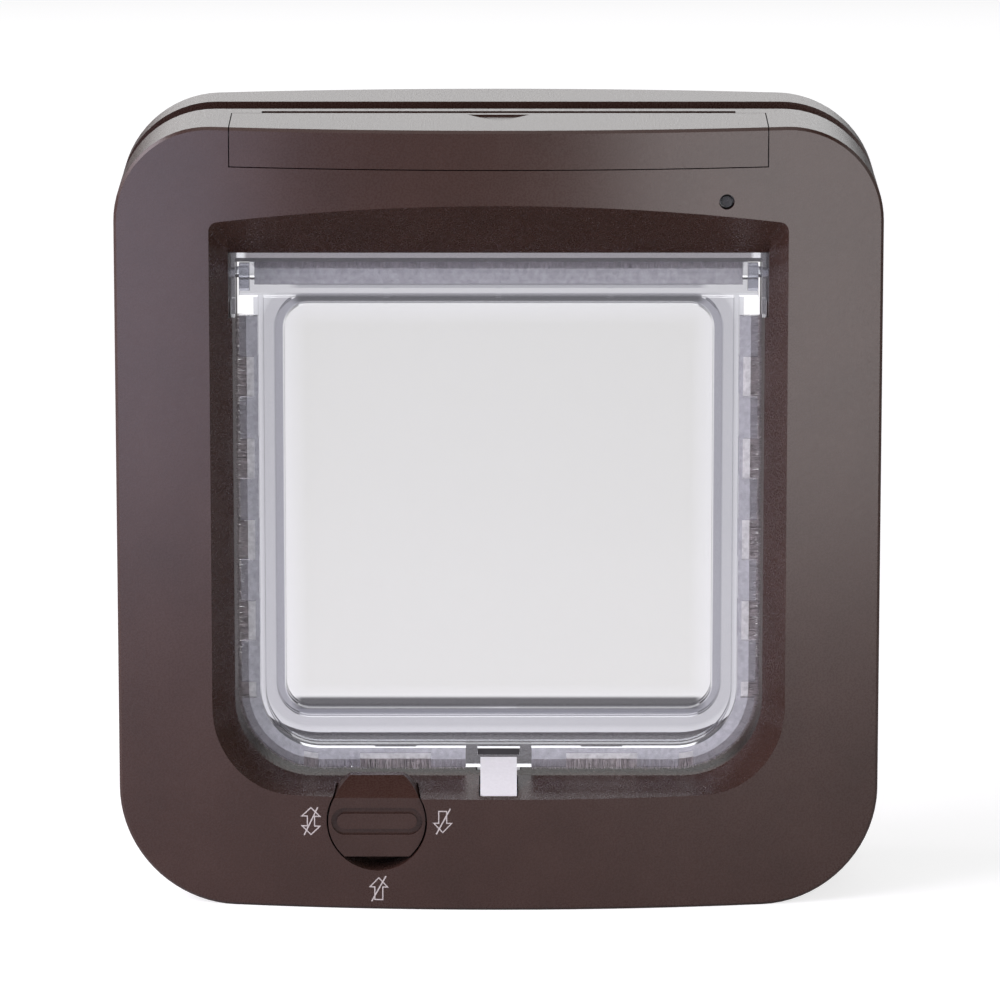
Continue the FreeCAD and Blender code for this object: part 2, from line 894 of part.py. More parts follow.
def flap():
    """Clear flap: panel, window rib, ribbed head, magnet seat and a staggered channel for the pile."""
    panel = flap_slab(0.0, hinge_y - flap_panel / 2.0, hinge_y + flap_panel / 2.0, hinge_height)
    panel = panel.cut(rim_ring(-cut_over, rim_channel_depth + cut_over, flap_front_y, flap_back_y))
    window = window_ring(hinge_y - window_rib_depth / 2.0, hinge_y + window_rib_depth / 2.0)
    seat_half = magnet_half_width + magnet_cheek
    seat_top = magnet_floor + magnet_height + rim_wall
    magnet_seat = box(-seat_half, seat_half, flap_front_y, flap_back_y, flap_floor, seat_top)
    body = fuse_all([panel, window, magnet_seat] + flap_rim() + flap_head())
    brush_slot = box(
        -brush_half_width - brush_clearance,
        brush_half_width + brush_clearance,
        pile_front_y - seat_gap,
        pile_back_y + seat_gap,
        top_channel_floor,
        hinge_height + far,
    )
    magnet_pocket = box(
        -magnet_half_width - seat_gap,
        magnet_half_width + seat_gap,
        flap_front_y - cut_over,
        flap_front_y + magnet_depth + seat_gap,
        magnet_floor,
        magnet_floor + magnet_height + seat_gap,
    )
    body = body.cut(brush_slot).cut(magnet_pocket)
    clip_room = clip_lug(seat_gap, flap_half_width - clip_width - seat_gap, flap_half_width + cut_over, far)
    for side in (-1.0, 1.0):
        body = body.cut(on_side(clip_room, side))
    return body


def pivot_clip(side):
    """Rounded clip with its pin, which turns in the bracket's hole."""
    x0 = flap_half_width - clip_width
    lug = clip_lug(0.0, x0, flap_half_width, 0.0)
    pin_end = hinge_recess_half_width - seat_gap
    pin = rod(pivot_pin_radius, V(x0, hinge_y, hinge_height), V(pin_end, hinge_y, hinge_height))
    return on_side(lug.fuse(pin).removeSplitter(), side)


def pile_seal(side):
    """Pile strip in the rim's channel, down one side and along half the bottom."""
    outer = flap_slab(-pile_stand, pile_front_y, pile_back_y, hinge_height)
    band = outer.cut(flap_slab(rim_channel_depth - seat_gap, pile_front_y, pile_back_y, hinge_height))
    inner_end = magnet_half_width + magnet_cheek + seat_gap
    keep = box(inner_end, far * 2, pile_front_y, pile_back_y, 0, hinge_recess_floor - piece_gap)
    return band.common(on_side(keep, side))


def top_brush():
    """Upright pile in the flap's top channel."""
    return box(
        -brush_half_width,
        brush_half_width,
        pile_front_y,
        pile_back_y,
        top_channel_floor + seat_gap,
        hinge_height + flap_top_radius - rim_wall / 2.0,
    )


def flap_magnet():
    """Bar magnet that draws the flap shut, in its seat over the latch."""
    return box(
        -magnet_half_width,
        magnet_half_width,
        flap_front_y,
        flap_front_y + magnet_depth,
        magnet_floor,
        magnet_floor + magnet_height,
    )


def floor_magnet():
    """Bar magnet under the tunnel's floor, beside the latch slot and just indoors of the coil."""
    start = magnet_half_width + magnet_cheek
    top = tunnel_floor - tunnel_wall
    y1 = coil_y - seat_gap
    return box(start, start + floor_magnet_length, y1 - magnet_depth, y1, top - floor_magnet_height, top)


def hinge_carrier():
    """Clear bar over the flap with a stepped bracket at each end."""
    y0 = inner_y - carrier_bar_front
    bar = box(
        -hinge_recess_half_width,
        hinge_recess_half_width,
        y0,
        y0 + carrier_bar_depth,
        opening_ceiling - carrier_bar_height,
        opening_ceiling,
    )
    x0 = hinge_recess_half_width - bracket_thickness
    step_z = opening_ceiling - bracket_height
    upper = box(x0, hinge_recess_half_width, y0, y0 + bracket_depth, step_z, opening_ceiling)
    foot = box(
        x0,
        x0 + bracket_foot_thickness,
        y0,
        y0 + bracket_depth - bracket_step,
        hinge_recess_floor,
        step_z,
    )
    parts = [bar]
    for side in (-1.0, 1.0):
        parts.extend([on_side(upper, side), on_side(foot, side)])
    hole = rod(
        pivot_pin_radius + pivot_running_gap,
        V(-hinge_recess_half_width - cut_over, hinge_y, hinge_height),
        V(hinge_recess_half_width + cut_over, hinge_y, hinge_height),
    )
    return fuse_all(parts).cut(hole)


# Latches and their drive

def inner_latch():
    """White wedge-shaped tongue with a rack down one side of its stem."""
    half = latch_width / 2.0
    tip_y = flap_front_y - latch_tip_gap
    head = polygon_prism(
        [
            V(0, latch_y, latch_low),
            V(0, latch_y, opening_floor - latch_front_drop),
            V(0, tip_y, opening_floor + latch_tip_rise),
            V(0, tip_y, latch_head_underside),
            V(0, stem_y1, latch_head_underside),
            V(0, stem_y1, latch_low),
        ],
        V(-half, 0, 0),
        V(latch_width, 0, 0),
    )
    stem = box(-half, half, stem_y0, stem_y1, latch_stem_foot, latch_head_underside)
    rack_top = latch_head_underside - rack_end_clearance
    back = box(half, rack_root_x, gear_y0, gear_y1, latch_stem_foot, rack_top)
    parts = [head, stem, back]
    half_tooth = tooth_pitch / 4.0
    below = math.floor((pinion_height - half_tooth - latch_stem_foot) / tooth_pitch)
    above = math.floor((rack_top - half_tooth - pinion_height) / tooth_pitch)
    for n in range(-below, above + 1):
        parts.append(rack_tooth(pinion_height + n * tooth_pitch))
    return fuse_all(parts)


def rack_tooth(z):
    """Straight-flanked tooth of the rack, centred at z and rooted in the rack's back."""
    lean = math.tan(math.radians(pressure_angle))
    tip_x = rack_pitch_line + gear_module
    root_x = rack_root_x - gear_backlash
    half_pitch = tooth_pitch / 4.0 - gear_backlash / 2.0
    half_root = half_pitch + lean * (rack_pitch_line - rack_root_x)
    half_tip = half_pitch - lean * gear_module
    return polygon_prism(
        [
            V(root_x, 0, z - half_root),
            V(tip_x, 0, z - half_tip),
            V(tip_x, 0, z + half_tip),
            V(root_x, 0, z + half_root),
        ],
        V(0, gear_y0, 0),
        V(0, gear_width, 0),
    )


def turned(x, z, angle):
    """A point of the XZ plane turned about the origin."""
    return (
        x * math.cos(angle) - z * math.sin(angle),
        x * math.sin(angle) + z * math.cos(angle),
    )


def involute_angle(base, radius):
    """Angle that an involute has turned through when it reaches a radius."""
    roll = math.sqrt(radius**2 / base**2 - 1.0)
    return roll - math.atan(roll)


def motor_pinion():
    """Small involute gear and its shaft stub, with a tooth gap facing the rack's tooth."""
    tip = pitch_radius + gear_module
    root = pitch_radius - dedendum * gear_module
    base = pitch_radius * math.cos(math.radians(pressure_angle))
    half_tooth = math.pi / (2.0 * pinion_teeth) - gear_backlash / (4.0 * pitch_radius)
    half_base = involute_angle(base, pitch_radius) + half_tooth
    flank = [(root, half_base)]
    for step in range(flank_steps + 1):
        radius = base + (tip - base) * step / flank_steps
        flank.append((radius, half_base - involute_angle(base, radius)))
    points = []
    for n in range(pinion_teeth):
        middle = math.pi * (1.0 + (2.0 * n + 1.0) / pinion_teeth)
        rising = [turned(radius, 0.0, middle - angle) for radius, angle in flank]
        falling = [turned(radius, 0.0, middle + angle) for radius, angle in reversed(flank)]
        points.extend(rising + falling)
    wire = [V(x, 0, z) for x, z in points]
    gear = polygon_prism(wire, V(pinion_x, gear_y0, pinion_height), V(0, gear_width, 0))
    shaft = bore(pinion_x, pinion_height, pinion_shaft_radius, gear_y1, gear_y1 + pinion_shaft_length)
    return gear.fuse(shaft).removeSplitter()


def lock_motor():
    """Geared micro motor: square gearbox and flattened can, with a bore for the pinion's shaft."""
    half_width = motor_width / 2.0
    half_height = motor_height / 2.0
    form = box(
        pinion_x - half_width,
        pinion_x + half_width,
        motor_y0,
        motor_y1,
        pinion_height - half_height,
        pinion_height + half_height,
    )
    gearbox_end = motor_y0 + gearbox_length
    can = bore(pinion_x, pinion_height, half_width, gearbox_end, motor_y1).common(form)
    gearbox = form.common(box(-far, far, motor_y0, gearbox_end, 0, far))
    shaft_bore = bore(
        pinion_x,
        pinion_height,
        pinion_shaft_radius + pivot_running_gap,
        motor_y0 - cut_over,
        motor_y0 + motor_bore_depth,
    )
    return gearbox.fuse(can).cut(shaft_bore)


def outer_latch():
    """White tongue that rises behind the flap, chamfered where the flap would ride over it."""
    half = outer_latch_width / 2.0
    top = tunnel_floor - seat_gap
    back = outer_latch_y + outer_latch_depth
    tongue = polygon_prism(
        [
            V(0, outer_latch_y, outer_latch_foot),
            V(0, outer_latch_y, top - outer_latch_chamfer),
            V(0, outer_latch_y + outer_latch_chamfer, top),
            V(0, back, top),
            V(0, back, outer_latch_foot),
        ],
        V(-half, 0, 0),
        V(outer_latch_width, 0, 0),
    )
    foot = box(
        -half - outer_latch_foot_reach,
        half,
        outer_latch_y,
        back,
        outer_latch_foot,
        outer_latch_foot + outer_latch_foot_height,
    )
    return fuse_all([tongue, foot])


def lock_chassis():
    """Black carrier that guides both latches and holds the motor."""
    wall = chassis_wall
    half = latch_width / 2.0 + piece_gap
    latch_half = outer_latch_width / 2.0 + piece_gap
    front = stem_y1 + piece_gap
    back = outer_latch_y + outer_latch_depth + piece_gap + wall
    base = shell_wall
    guide_top = latch_low - piece_gap
    motor_left = pinion_x - motor_width / 2.0 - seat_gap
    motor_right = pinion_x + motor_width / 2.0 + seat_gap
    motor_low = pinion_height - motor_height / 2.0
    cradle_y0 = motor_y0 + cradle_inset
    cradle_y1 = motor_y1 - cradle_inset
    right_end = motor_right + wall
    foot_left = -latch_half - outer_latch_foot_reach
    tower_top = outer_latch_foot + outer_latch_travel - outer_latch_foot_height
    parts = [
        box(-half - wall, right_end, front, back, base, base + wall),
        box(-half - wall, half, front, front + wall, base, guide_top),
        box(-half - wall, -half, stem_y0, front, base, guide_top),
        box(motor_left, right_end, cradle_y0, cradle_y1, base, motor_low),
        box(motor_right, right_end, cradle_y0, cradle_y1, motor_low, pinion_height),
        box(foot_left - wall, latch_half + wall, outer_latch_y - piece_gap - wall, back, base, tower_top),
    ]
    foot_floor = outer_latch_foot - seat_gap
    latch_way = outer_latch_box(piece_gap, foot_floor, far)
    foot_way = box(
        foot_left,
        0,
        outer_latch_y - piece_gap,
        outer_latch_y + outer_latch_depth + piece_gap,
        foot_floor,
        far,
    )
    motor_room = box(motor_left, motor_right, motor_y0 - seat_gap, motor_y1 + seat_gap, motor_low, far)
    return fuse_all(parts).cut(latch_way).cut(foot_way).cut(motor_room)


# Knob

def lock_knob():
    """Round dial with two flats, a sloping facet that carries on the bevel, a grip ridge and its stem."""
    y0 = front_y + knob_front_setback
    y1 = knob_seat_y - seat_gap
    flats = box(
        knob_x - knob_radius,
        knob_x + knob_radius,
        y0,
        y1,
        knob_height - knob_flat_below,
        knob_height + knob_flat_above,
    )
    disc = bore(knob_x, knob_height, knob_radius, y0, y1).common(flats)
    facet = polygon_prism(
        [
            V(0, y0, knob_height + knob_facet_start),
            V(0, y0 + knob_facet_depth, knob_height + knob_flat_above),
            V(0, y0, knob_height + knob_flat_above),
        ],
        V(knob_x - knob_radius, 0, 0),
        V(2.0 * knob_radius, 0, 0),
    )
    half_x = knob_grip_length / 2.0
    half_z = knob_grip_height / 2.0
    groove_y = y0 + knob_grip_recess
    groove = stadium(knob_x, knob_height, half_x + knob_grip_groove, half_z + knob_grip_groove, y0, groove_y)
    ridge = stadium(knob_x, knob_height, half_x, half_z, y0, y1)
    stem = bore(knob_x, knob_height, knob_stem_radius, y0 + knob_grip_recess, knob_cam_y + knob_cam_thickness)
    return fuse_all([disc.cut(facet).cut(groove), ridge, stem])


def stadium(x, z, half_x, half_z, y0, y1):
    """Round-ended bar lying along X, pushed from y0 to y1."""
    straight = half_x - half_z
    bar = box(x - straight, x + straight, y0, y1, z - half_z, z + half_z)
    return fuse_all([bar] + [bore(x + side * straight, z, half_z, y0, y1) for side in (-1.0, 1.0)])


def knob_cam():
    """Disc on the knob's stem behind its seat, with a notch for each lock position."""
    y1 = knob_cam_y + knob_cam_thickness
    disc = bore(knob_x, knob_height, knob_cam_radius, knob_cam_y, y1)
    disc = disc.cut(bore(knob_x, knob_height, knob_stem_radius, knob_cam_y, y1))
    notch = polygon_prism(
        [
            V(knob_cam_radius - knob_notch_depth, 0, 0),
            V(knob_cam_radius + knob_notch_depth, 0, 2.0 * knob_notch_depth),
            V(knob_cam_radius + knob_notch_depth, 0, -2.0 * knob_notch_depth),
        ],
        V(knob_x, knob_cam_y, knob_height),
        V(0, knob_cam_thickness, 0),
    )
    for n in range(knob_notch_count):
        angle = n * 4.0 * quarter_turn / knob_notch_count
        disc = disc.cut(notch.rotated(V(knob_x, 0, knob_height), V(0, 1, 0), angle))
    return disc


# Power and electronics

def cell(x, y, side):
    """One AA cell lying along X from its flat end at x, with its nub pointing to a side."""
    along = V(side, 0, 0)
    can = Part.makeCylinder(cell_radius, cell_length, V(x, y, cell_height), along)
    nub_start = V(x + side * cell_length, y, cell_height)
    return can.fuse(Part.makeCylinder(cell_nub_radius, cell_nub_length, nub_start, along))


def aa_cells():
    """Two rows of two cells, the rows facing opposite ways."""
    middle = seat_gap / 2.0
    cells = []
    for row, side in enumerate((1.0, -1.0)):
        y = cell_row_y + row * cell_pitch
        shift = 0.0 if side > 0 else cell_half_row
        for flat_end in (-middle - cell_half_row, middle):
            cells.append(cell(flat_end + shift, y, side))
    return cells


def battery_contact(side):
    """Plate with two folded leaves that press on the cells' ends."""
    x1 = tray_half_width
    x0 = x1 - contact_thickness
    half = contact_leaf_width / 2.0
    tip_x = cell_half_row + seat_gap + seat_gap / 2.0
    plate = box(
        x0,
        x1,
        cell_row_y - cell_radius + contact_end_margin,
        tray_back_y - contact_end_margin,
        tray_floor,
        cell_height + cell_radius,
    )
    parts = [plate]
    for row in (0, 1):
        leaf = polygon_prism(
            [
                V(x0, 0, half),
                V(tip_x, 0, contact_tip_half),
                V(tip_x, 0, -contact_tip_half),
                V(x0, 0, -half),
                V(x0, 0, contact_leaf_fold - half),
                V(tip_x + contact_thickness, 0, 0),
                V(x0, 0, half - contact_leaf_fold),
            ],
            V(0, cell_row_y + row * cell_pitch - half / 2.0, cell_height),
            V(0, half, 0),
        )
        parts.append(leaf)
    return on_side(fuse_all(parts), side)


def control_board():
    """Circuit board behind the status light."""
    return box(board_left, board_right, board_y, board_y + board_thickness, board_floor, board_ceiling)


def status_diode():
    """Light-emitting diode on the board, in line with the light pipe."""
    return post(light_x, light_height, diode_size / 2.0, board_y - diode_depth, board_y)


def light_pipe():
    """Clear rod from the diode to the face, with a square collar behind the face's wall."""
    pipe_end = board_y - diode_depth - seat_gap
    pipe = bore(light_x, light_height, light_pipe_radius, face_y(light_x) + light_recess, pipe_end)
    collar_y = face_y(light_x + light_collar_half) + shell_wall + seat_gap
    collar = post(light_x, light_height, light_collar_half, collar_y, collar_y + light_collar_thickness)
    return fuse_all([pipe, collar])


def learn_switch():
    """Push switch on the board under the learn button."""
    half = switch_size / 2.0
    low = switch_top - switch_height
    return box(learn_x - half, learn_x + half, board_y - switch_size, board_y, low, switch_top)


def learn_button():
    """Round push button through the shelf, with a square flange that keeps it in."""
    low = switch_top + learn_travel + seat_gap
    stem = rod(learn_radius, V(learn_x, learn_y, low), V(learn_x, learn_y, shelf_top - seat_gap))
    half = learn_flange_half
    top = shelf_bottom - seat_gap
    flange = box(
        learn_x - half,
        learn_x + half,
        learn_y - half,
        learn_y + half,
        top - learn_flange_thickness,
        top,
    )
    return fuse_all([stem, flange])


def antenna_coil():
    """Flat winding round the tunnel between the two latches."""
    inner = tunnel_wall + seat_gap
    outer = tunnel_slab(inner + coil_thickness, coil_y, coil_y + coil_width)
    return outer.cut(tunnel_slab(inner, coil_y, coil_y + coil_width))


def build_all():
    """Every piece by its name."""
    pieces = {
        "front_housing": front_housing(),
        "rear_housing": rear_housing(),
        "exterior_frame": exterior_frame(),
        "battery_cover": battery_cover(),
        "hinge_carrier": hinge_carrier(),
        "flap": flap(),
        "pivot_clip_left": pivot_clip(-1.0),
        "pivot_clip_right": pivot_clip(1.0),
        "pile_seal_left": pile_seal(-1.0),
        "pile_seal_right": pile_seal(1.0),
        "top_brush": top_brush(),
        "flap_magnet": flap_magnet(),
        "floor_magnet": floor_magnet(),
        "inner_latch": inner_latch(),
        "outer_latch": outer_latch(),
        "lock_chassis": lock_chassis(),
        "lock_motor": lock_motor(),
        "motor_pinion": motor_pinion(),
        "lock_knob": lock_knob(),
        "knob_cam": knob_cam(),
        "battery_contact_left": battery_contact(-1.0),
        "battery_contact_right": battery_contact(1.0),
        "control_board": control_board(),
        "status_diode": status_diode(),
        "light_pipe": light_pipe(),
        "learn_switch": learn_switch(),
        "learn_button": learn_button(),
        "antenna_coil": antenna_coil(),
        "clamp_screws": clamp_screws(),
        "closing_screws": closing_screws(),
        "screw_caps": screw_caps(),
    }
    for n, shape in enumerate(aa_cells()):
        pieces["aa_cell_%d" % (n + 1)] = shape
    return pieces


os.makedirs("parts", exist_ok=True)
for name, shape in build_all().items():
    shape.exportStep("parts/%s.step" % name)
    print(name, len(shape.Solids), round(shape.Volume, 1), shape.isValid())
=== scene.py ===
"""Looks for a brown door-mounted cat flap: finishes, pile seals, printed marks, threads, studio and camera."""
import math
import random

import bmesh
import bpy
from mathutils import Matrix, Vector


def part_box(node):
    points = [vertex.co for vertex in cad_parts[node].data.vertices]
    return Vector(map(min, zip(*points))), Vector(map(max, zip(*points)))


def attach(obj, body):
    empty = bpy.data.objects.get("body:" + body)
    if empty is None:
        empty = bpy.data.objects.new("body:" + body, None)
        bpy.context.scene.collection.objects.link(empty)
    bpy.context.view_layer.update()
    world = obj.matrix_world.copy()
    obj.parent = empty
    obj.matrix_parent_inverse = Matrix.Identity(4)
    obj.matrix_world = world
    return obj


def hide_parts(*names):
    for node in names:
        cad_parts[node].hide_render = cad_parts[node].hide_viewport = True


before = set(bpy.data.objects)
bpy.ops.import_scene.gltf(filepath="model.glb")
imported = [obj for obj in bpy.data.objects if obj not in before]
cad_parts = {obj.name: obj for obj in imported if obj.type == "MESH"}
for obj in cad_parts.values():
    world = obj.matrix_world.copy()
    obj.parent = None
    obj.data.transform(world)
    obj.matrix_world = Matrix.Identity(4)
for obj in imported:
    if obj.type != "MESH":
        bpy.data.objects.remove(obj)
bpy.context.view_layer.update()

MM = 0.001


# Colours and shader nodes

def srgb(text, alpha=1.0):
    """Hex sRGB colour as linear RGBA."""
    channels = []
    for n in (0, 2, 4):
        value = int(text[n:n + 2], 16) / 255.0
        channels.append(value / 12.92 if value <= 0.04045 else ((value + 0.055) / 1.055) ** 2.4)
    return (channels[0], channels[1], channels[2], alpha)


def add_node(tree, kind, settings=None, links=None):
    """A shader node with its settings and sockets; a socket given as (node, output) is linked."""
    node = tree.nodes.new(kind)
    for key, value in (settings or {}).items():
        setattr(node, key, value)
    for key, value in (links or {}).items():
        socket = node.inputs[key]
        if isinstance(value, tuple) and len(value) == 2 and hasattr(value[0], "outputs"):
            tree.links.new(value[0].outputs[value[1]], socket)
        else:
            socket.default_value = value
    return node


def start_material(name):
    """An empty material with its output node."""
    material = bpy.data.materials.new(name)
    material.use_nodes = True
    material.node_tree.nodes.clear()
    output = material.node_tree.nodes.new("ShaderNodeOutputMaterial")
    return material, material.node_tree, output


def set_ramp(ramp, stops):
    """Colour stops of a ramp node, as (place, colour) pairs."""
    elements = ramp.color_ramp.elements
    while len(elements) > 1:
        elements.remove(elements[-1])
    elements[0].position, elements[0].color = stops[0]
    for place, colour in stops[1:]:
        elements.new(place).color = colour


# Sheen of plain plastic, and the height above which the tunnel's moulding has it in full
FULL_SHINE = 0.5
TUNNEL_CEILING, SHINE_BLEND = 183.0 * MM, 3.0 * MM


def satin_abs(name, base, dark, light, grain_mm=0.5, roughness=0.28, tunnel_shine=FULL_SHINE):
    """Injection-moulded ABS with a fine spark-eroded grain: a satin skin that softens every reflection.

    The tunnel's coarser grain takes most of the shine off the walls below its ceiling.
    """
    material, tree, output = start_material(name)
    place = add_node(tree, "ShaderNodeTexCoord")
    mottle = add_node(tree, "ShaderNodeTexNoise", None, {
        "Vector": (place, "Object"), "Scale": 1.0 / (18.0 * MM), "Detail": 3.0, "Roughness": 0.55})
    tint = add_node(tree, "ShaderNodeValToRGB", None, {"Fac": (mottle, "Fac")})
    set_ramp(tint, [(0.3, srgb(dark)), (0.5, srgb(base)), (0.72, srgb(light))])
    grain = add_node(tree, "ShaderNodeTexNoise", None, {
        "Vector": (place, "Object"), "Scale": 1.0 / (grain_mm * MM), "Detail": 2.0, "Roughness": 0.6})
    gloss = add_node(tree, "ShaderNodeMapRange", None, {
        "Value": (grain, "Fac"), "From Min": 0.3, "From Max": 0.7,
        "To Min": roughness - 0.05, "To Max": roughness + 0.05})
    bump = add_node(tree, "ShaderNodeBump", None, {
        "Height": (grain, "Fac"), "Strength": 0.12, "Distance": 0.03 * MM})
    shader = add_node(tree, "ShaderNodeBsdfPrincipled", None, {
        "Base Color": (tint, "Color"), "Roughness": (gloss, "Result"), "Normal": (bump, "Normal"),
        "IOR": 1.53})
    if tunnel_shine < FULL_SHINE:
        parts = add_node(tree, "ShaderNodeSeparateXYZ", None, {"Vector": (place, "Object")})
        shine = add_node(tree, "ShaderNodeMapRange", None, {
            "Value": (parts, "Z"), "From Min": TUNNEL_CEILING, "From Max": TUNNEL_CEILING + SHINE_BLEND,
            "To Min": tunnel_shine, "To Max": FULL_SHINE})
        tree.links.new(shine.outputs["Result"], shader.inputs["Specular IOR Level"])
    tree.links.new(shader.outputs["BSDF"], output.inputs["Surface"])
    return material


def clear_polycarbonate(name, tint, roughness=0.03, haze=0.06):
    """Clear moulded plastic: it bends what is behind it, greys with every wall and casts a pale shadow.

    The tint is a hex colour, or a function that takes the node tree and gives a (node, output) pair.
    """
    material, tree, output = start_material(name)
    place = add_node(tree, "ShaderNodeTexCoord")
    flow = add_node(tree, "ShaderNodeTexNoise", None, {
        "Vector": (place, "Object"), "Scale": 1.0 / (9.0 * MM), "Detail": 2.0})
    bump = add_node(tree, "ShaderNodeBump", None, {
        "Height": (flow, "Fac"), "Strength": 0.08, "Distance": 0.05 * MM})
    colour = tint(tree) if callable(tint) else srgb(tint)
    glass = add_node(tree, "ShaderNodeBsdfPrincipled", None, {
        "Base Color": colour, "Roughness": roughness, "IOR": 1.58, "Transmission Weight": 1.0,
        "Normal": (bump, "Normal")})
    milk = add_node(tree, "ShaderNodeBsdfPrincipled", None, {
        "Base Color": srgb("E4E6EC"), "Roughness": 0.25, "IOR": 1.5})
    body = add_node(tree, "ShaderNodeMixShader", None, {0: haze, 1: (glass, "BSDF"), 2: (milk, "BSDF")})
    through = add_node(tree, "ShaderNodeBsdfTransparent", None, {"Color": srgb("F4F4F6")})
    ray = add_node(tree, "ShaderNodeLightPath")
    bounced = add_node(tree, "ShaderNodeMath", {"operation": "MAXIMUM"}, {
        0: (ray, "Is Diffuse Ray"), 1: (ray, "Is Glossy Ray")})
    mirrored = add_node(tree, "ShaderNodeMath", {"operation": "SUBTRACT", "use_clamp": True}, {
        0: (bounced, 0), 1: (ray, "Is Transmission Ray")})
    unseen = add_node(tree, "ShaderNodeMath", {"operation": "MAXIMUM"}, {
        0: (ray, "Is Shadow Ray"), 1: (mirrored, 0)})
    shadow = add_node(tree, "ShaderNodeMixShader", None, {
        0: (unseen, 0), 1: (body, "Shader"), 2: (through, "BSDF")})
    tree.links.new(shadow.outputs["Shader"], output.inputs["Surface"])
    return material


# The flap's window: its edge sets where the flap's tint and its painted shade change
WINDOW_LOW, WINDOW_HIGH = 52.6 * MM, 166.9 * MM
WINDOW_HALF = 59.2 * MM
WINDOW_CORNER = 7.0 * MM
RIB_TOP = WINDOW_HIGH + 2.3 * MM

# Half the length of the hinge carrier's bar, and the blend between it and the end brackets
BAR_HALF, BAR_BLEND = 69.5 * MM, 0.5 * MM

# Sockets of a Mix node that mixes colours: its two inputs and its result
MIX_A, MIX_B, MIX_RESULT = 6, 7, 2


def window_distance(tree, place):
    """Distance outwards from the window's edge, measured round its rounded corners."""
    middle = (WINDOW_LOW + WINDOW_HIGH) / 2.0
    centred = add_node(tree, "ShaderNodeVectorMath", {"operation": "SUBTRACT"}, {
        0: (place, "Object"), 1: (0.0, 0.0, middle)})
    folded = add_node(tree, "ShaderNodeVectorMath", {"operation": "ABSOLUTE"}, {0: (centred, "Vector")})
    corner = (WINDOW_HALF - WINDOW_CORNER, 1.0, (WINDOW_HIGH - WINDOW_LOW) / 2.0 - WINDOW_CORNER)
    past = add_node(tree, "ShaderNodeVectorMath", {"operation": "SUBTRACT"}, {
        0: (folded, "Vector"), 1: corner})
    outside = add_node(tree, "ShaderNodeVectorMath", {"operation": "MAXIMUM"}, {
        0: (past, "Vector"), 1: (0.0, 0.0, 0.0)})
    reach = add_node(tree, "ShaderNodeVectorMath", {"operation": "LENGTH"}, {0: (outside, "Vector")})
    return add_node(tree, "ShaderNodeMath", {"operation": "SUBTRACT"}, {
        0: (reach, "Value"), 1: WINDOW_CORNER})


def stops_over(low, high, marks):
    """Ramp stops from (millimetres, hex colour) marks between two ends."""
    return [((at - low) / (high - low), srgb(colour)) for at, colour in marks]


def flap_tint_and_painted_shade(tree):
    """Light grey pane in the plastic's own tint; the darker rib and flange and dark fillets above and below are
    painted shade.
    """
    place = add_node(tree, "ShaderNodeTexCoord")
    distance = window_distance(tree, place)
    low, high = -7.0, 13.0
    along = add_node(tree, "ShaderNodeMapRange", None, {
        "Value": (distance, 0), "From Min": low * MM, "From Max": high * MM})
    border_tint_and_painted_shade = add_node(tree, "ShaderNodeValToRGB", None, {"Fac": (along, "Result")})
    # Inside the edge is the pane's own light grey; the darker bands past the edge are painted shade
    set_ramp(border_tint_and_painted_shade, stops_over(low, high, [
        (-6.5, "DFDFDD"), (-1.2, "E9E9EA"), (-0.1, "E9E9EA"), (0.2, "9C9CA4"), (2.2, "9C9CA4"),
        (2.7, "BCBCC1"), (5.4, "BEBEC3"), (6.2, "CDCDD2"), (10.0, "E4E5EA")]))
    parts = add_node(tree, "ShaderNodeSeparateXYZ", None, {"Vector": (place, "Object")})
    fillet_low, fillet_high = -6.0, 6.0
    above = add_node(tree, "ShaderNodeMapRange", None, {
        "Value": (parts, "Z"), "From Min": WINDOW_HIGH + fillet_low * MM,
        "From Max": WINDOW_HIGH + fillet_high * MM})
    upper_painted_shade = add_node(tree, "ShaderNodeValToRGB", None, {"Fac": (above, "Result")})
    # Painted shade: dark bands along the rib over the window's top
    set_ramp(upper_painted_shade, stops_over(fillet_low, fillet_high, [
        (-0.2, "FFFFFF"), (0.1, "A5A5A4"), (0.9, "7C7C7A"), (1.9, "8E8E8D"), (2.3, "FFFFFF"),
        (4.2, "FFFFFF"), (4.5, "B4B4B8"), (5.1, "B4B4B8"), (5.4, "FFFFFF")]))
    below = add_node(tree, "ShaderNodeMapRange", None, {
        "Value": (parts, "Z"), "From Min": WINDOW_LOW + fillet_low * MM,
        "From Max": WINDOW_LOW + fillet_high * MM})
    lower_painted_shade = add_node(tree, "ShaderNodeValToRGB", None, {"Fac": (below, "Result")})
    # Painted shade: a dark band along the window's foot
    set_ramp(lower_painted_shade, stops_over(fillet_low, fillet_high, [
        (-2.2, "FFFFFF"), (-1.9, "C4C4C8"), (-0.3, "C4C4C8"), (0.0, "6A696A"), (0.6, "555455"),
        (2.2, "555455"), (2.9, "FFFFFF")]))
    across = add_node(tree, "ShaderNodeMath", {"operation": "ABSOLUTE"}, {0: (parts, "X")})
    inside = add_node(tree, "ShaderNodeMapRange", None, {
        "Value": (across, 0), "From Min": WINDOW_HALF - 1.4 * MM, "From Max": WINDOW_HALF - 4.5 * MM})
    fillet_painted_shade = add_node(tree, "ShaderNodeMix", {"data_type": "RGBA", "blend_type": "MULTIPLY"}, {
        0: 1.0, MIX_A: (upper_painted_shade, "Color"), MIX_B: (lower_painted_shade, "Color")})
    head = add_node(tree, "ShaderNodeMath", {"operation": "GREATER_THAN"}, {0: (parts, "Z"), 1: RIB_TOP})
    plain = add_node(tree, "ShaderNodeMix", {"data_type": "RGBA", "blend_type": "MIX"}, {
        0: (head, 0), MIX_A: (border_tint_and_painted_shade, "Color"), MIX_B: srgb("CFCFD3")})
    mixed = add_node(tree, "ShaderNodeMix", {"data_type": "RGBA", "blend_type": "MULTIPLY"}, {
        0: (inside, "Result"), MIX_A: (plain, MIX_RESULT), MIX_B: (fillet_painted_shade, MIX_RESULT)})
    return mixed, MIX_RESULT


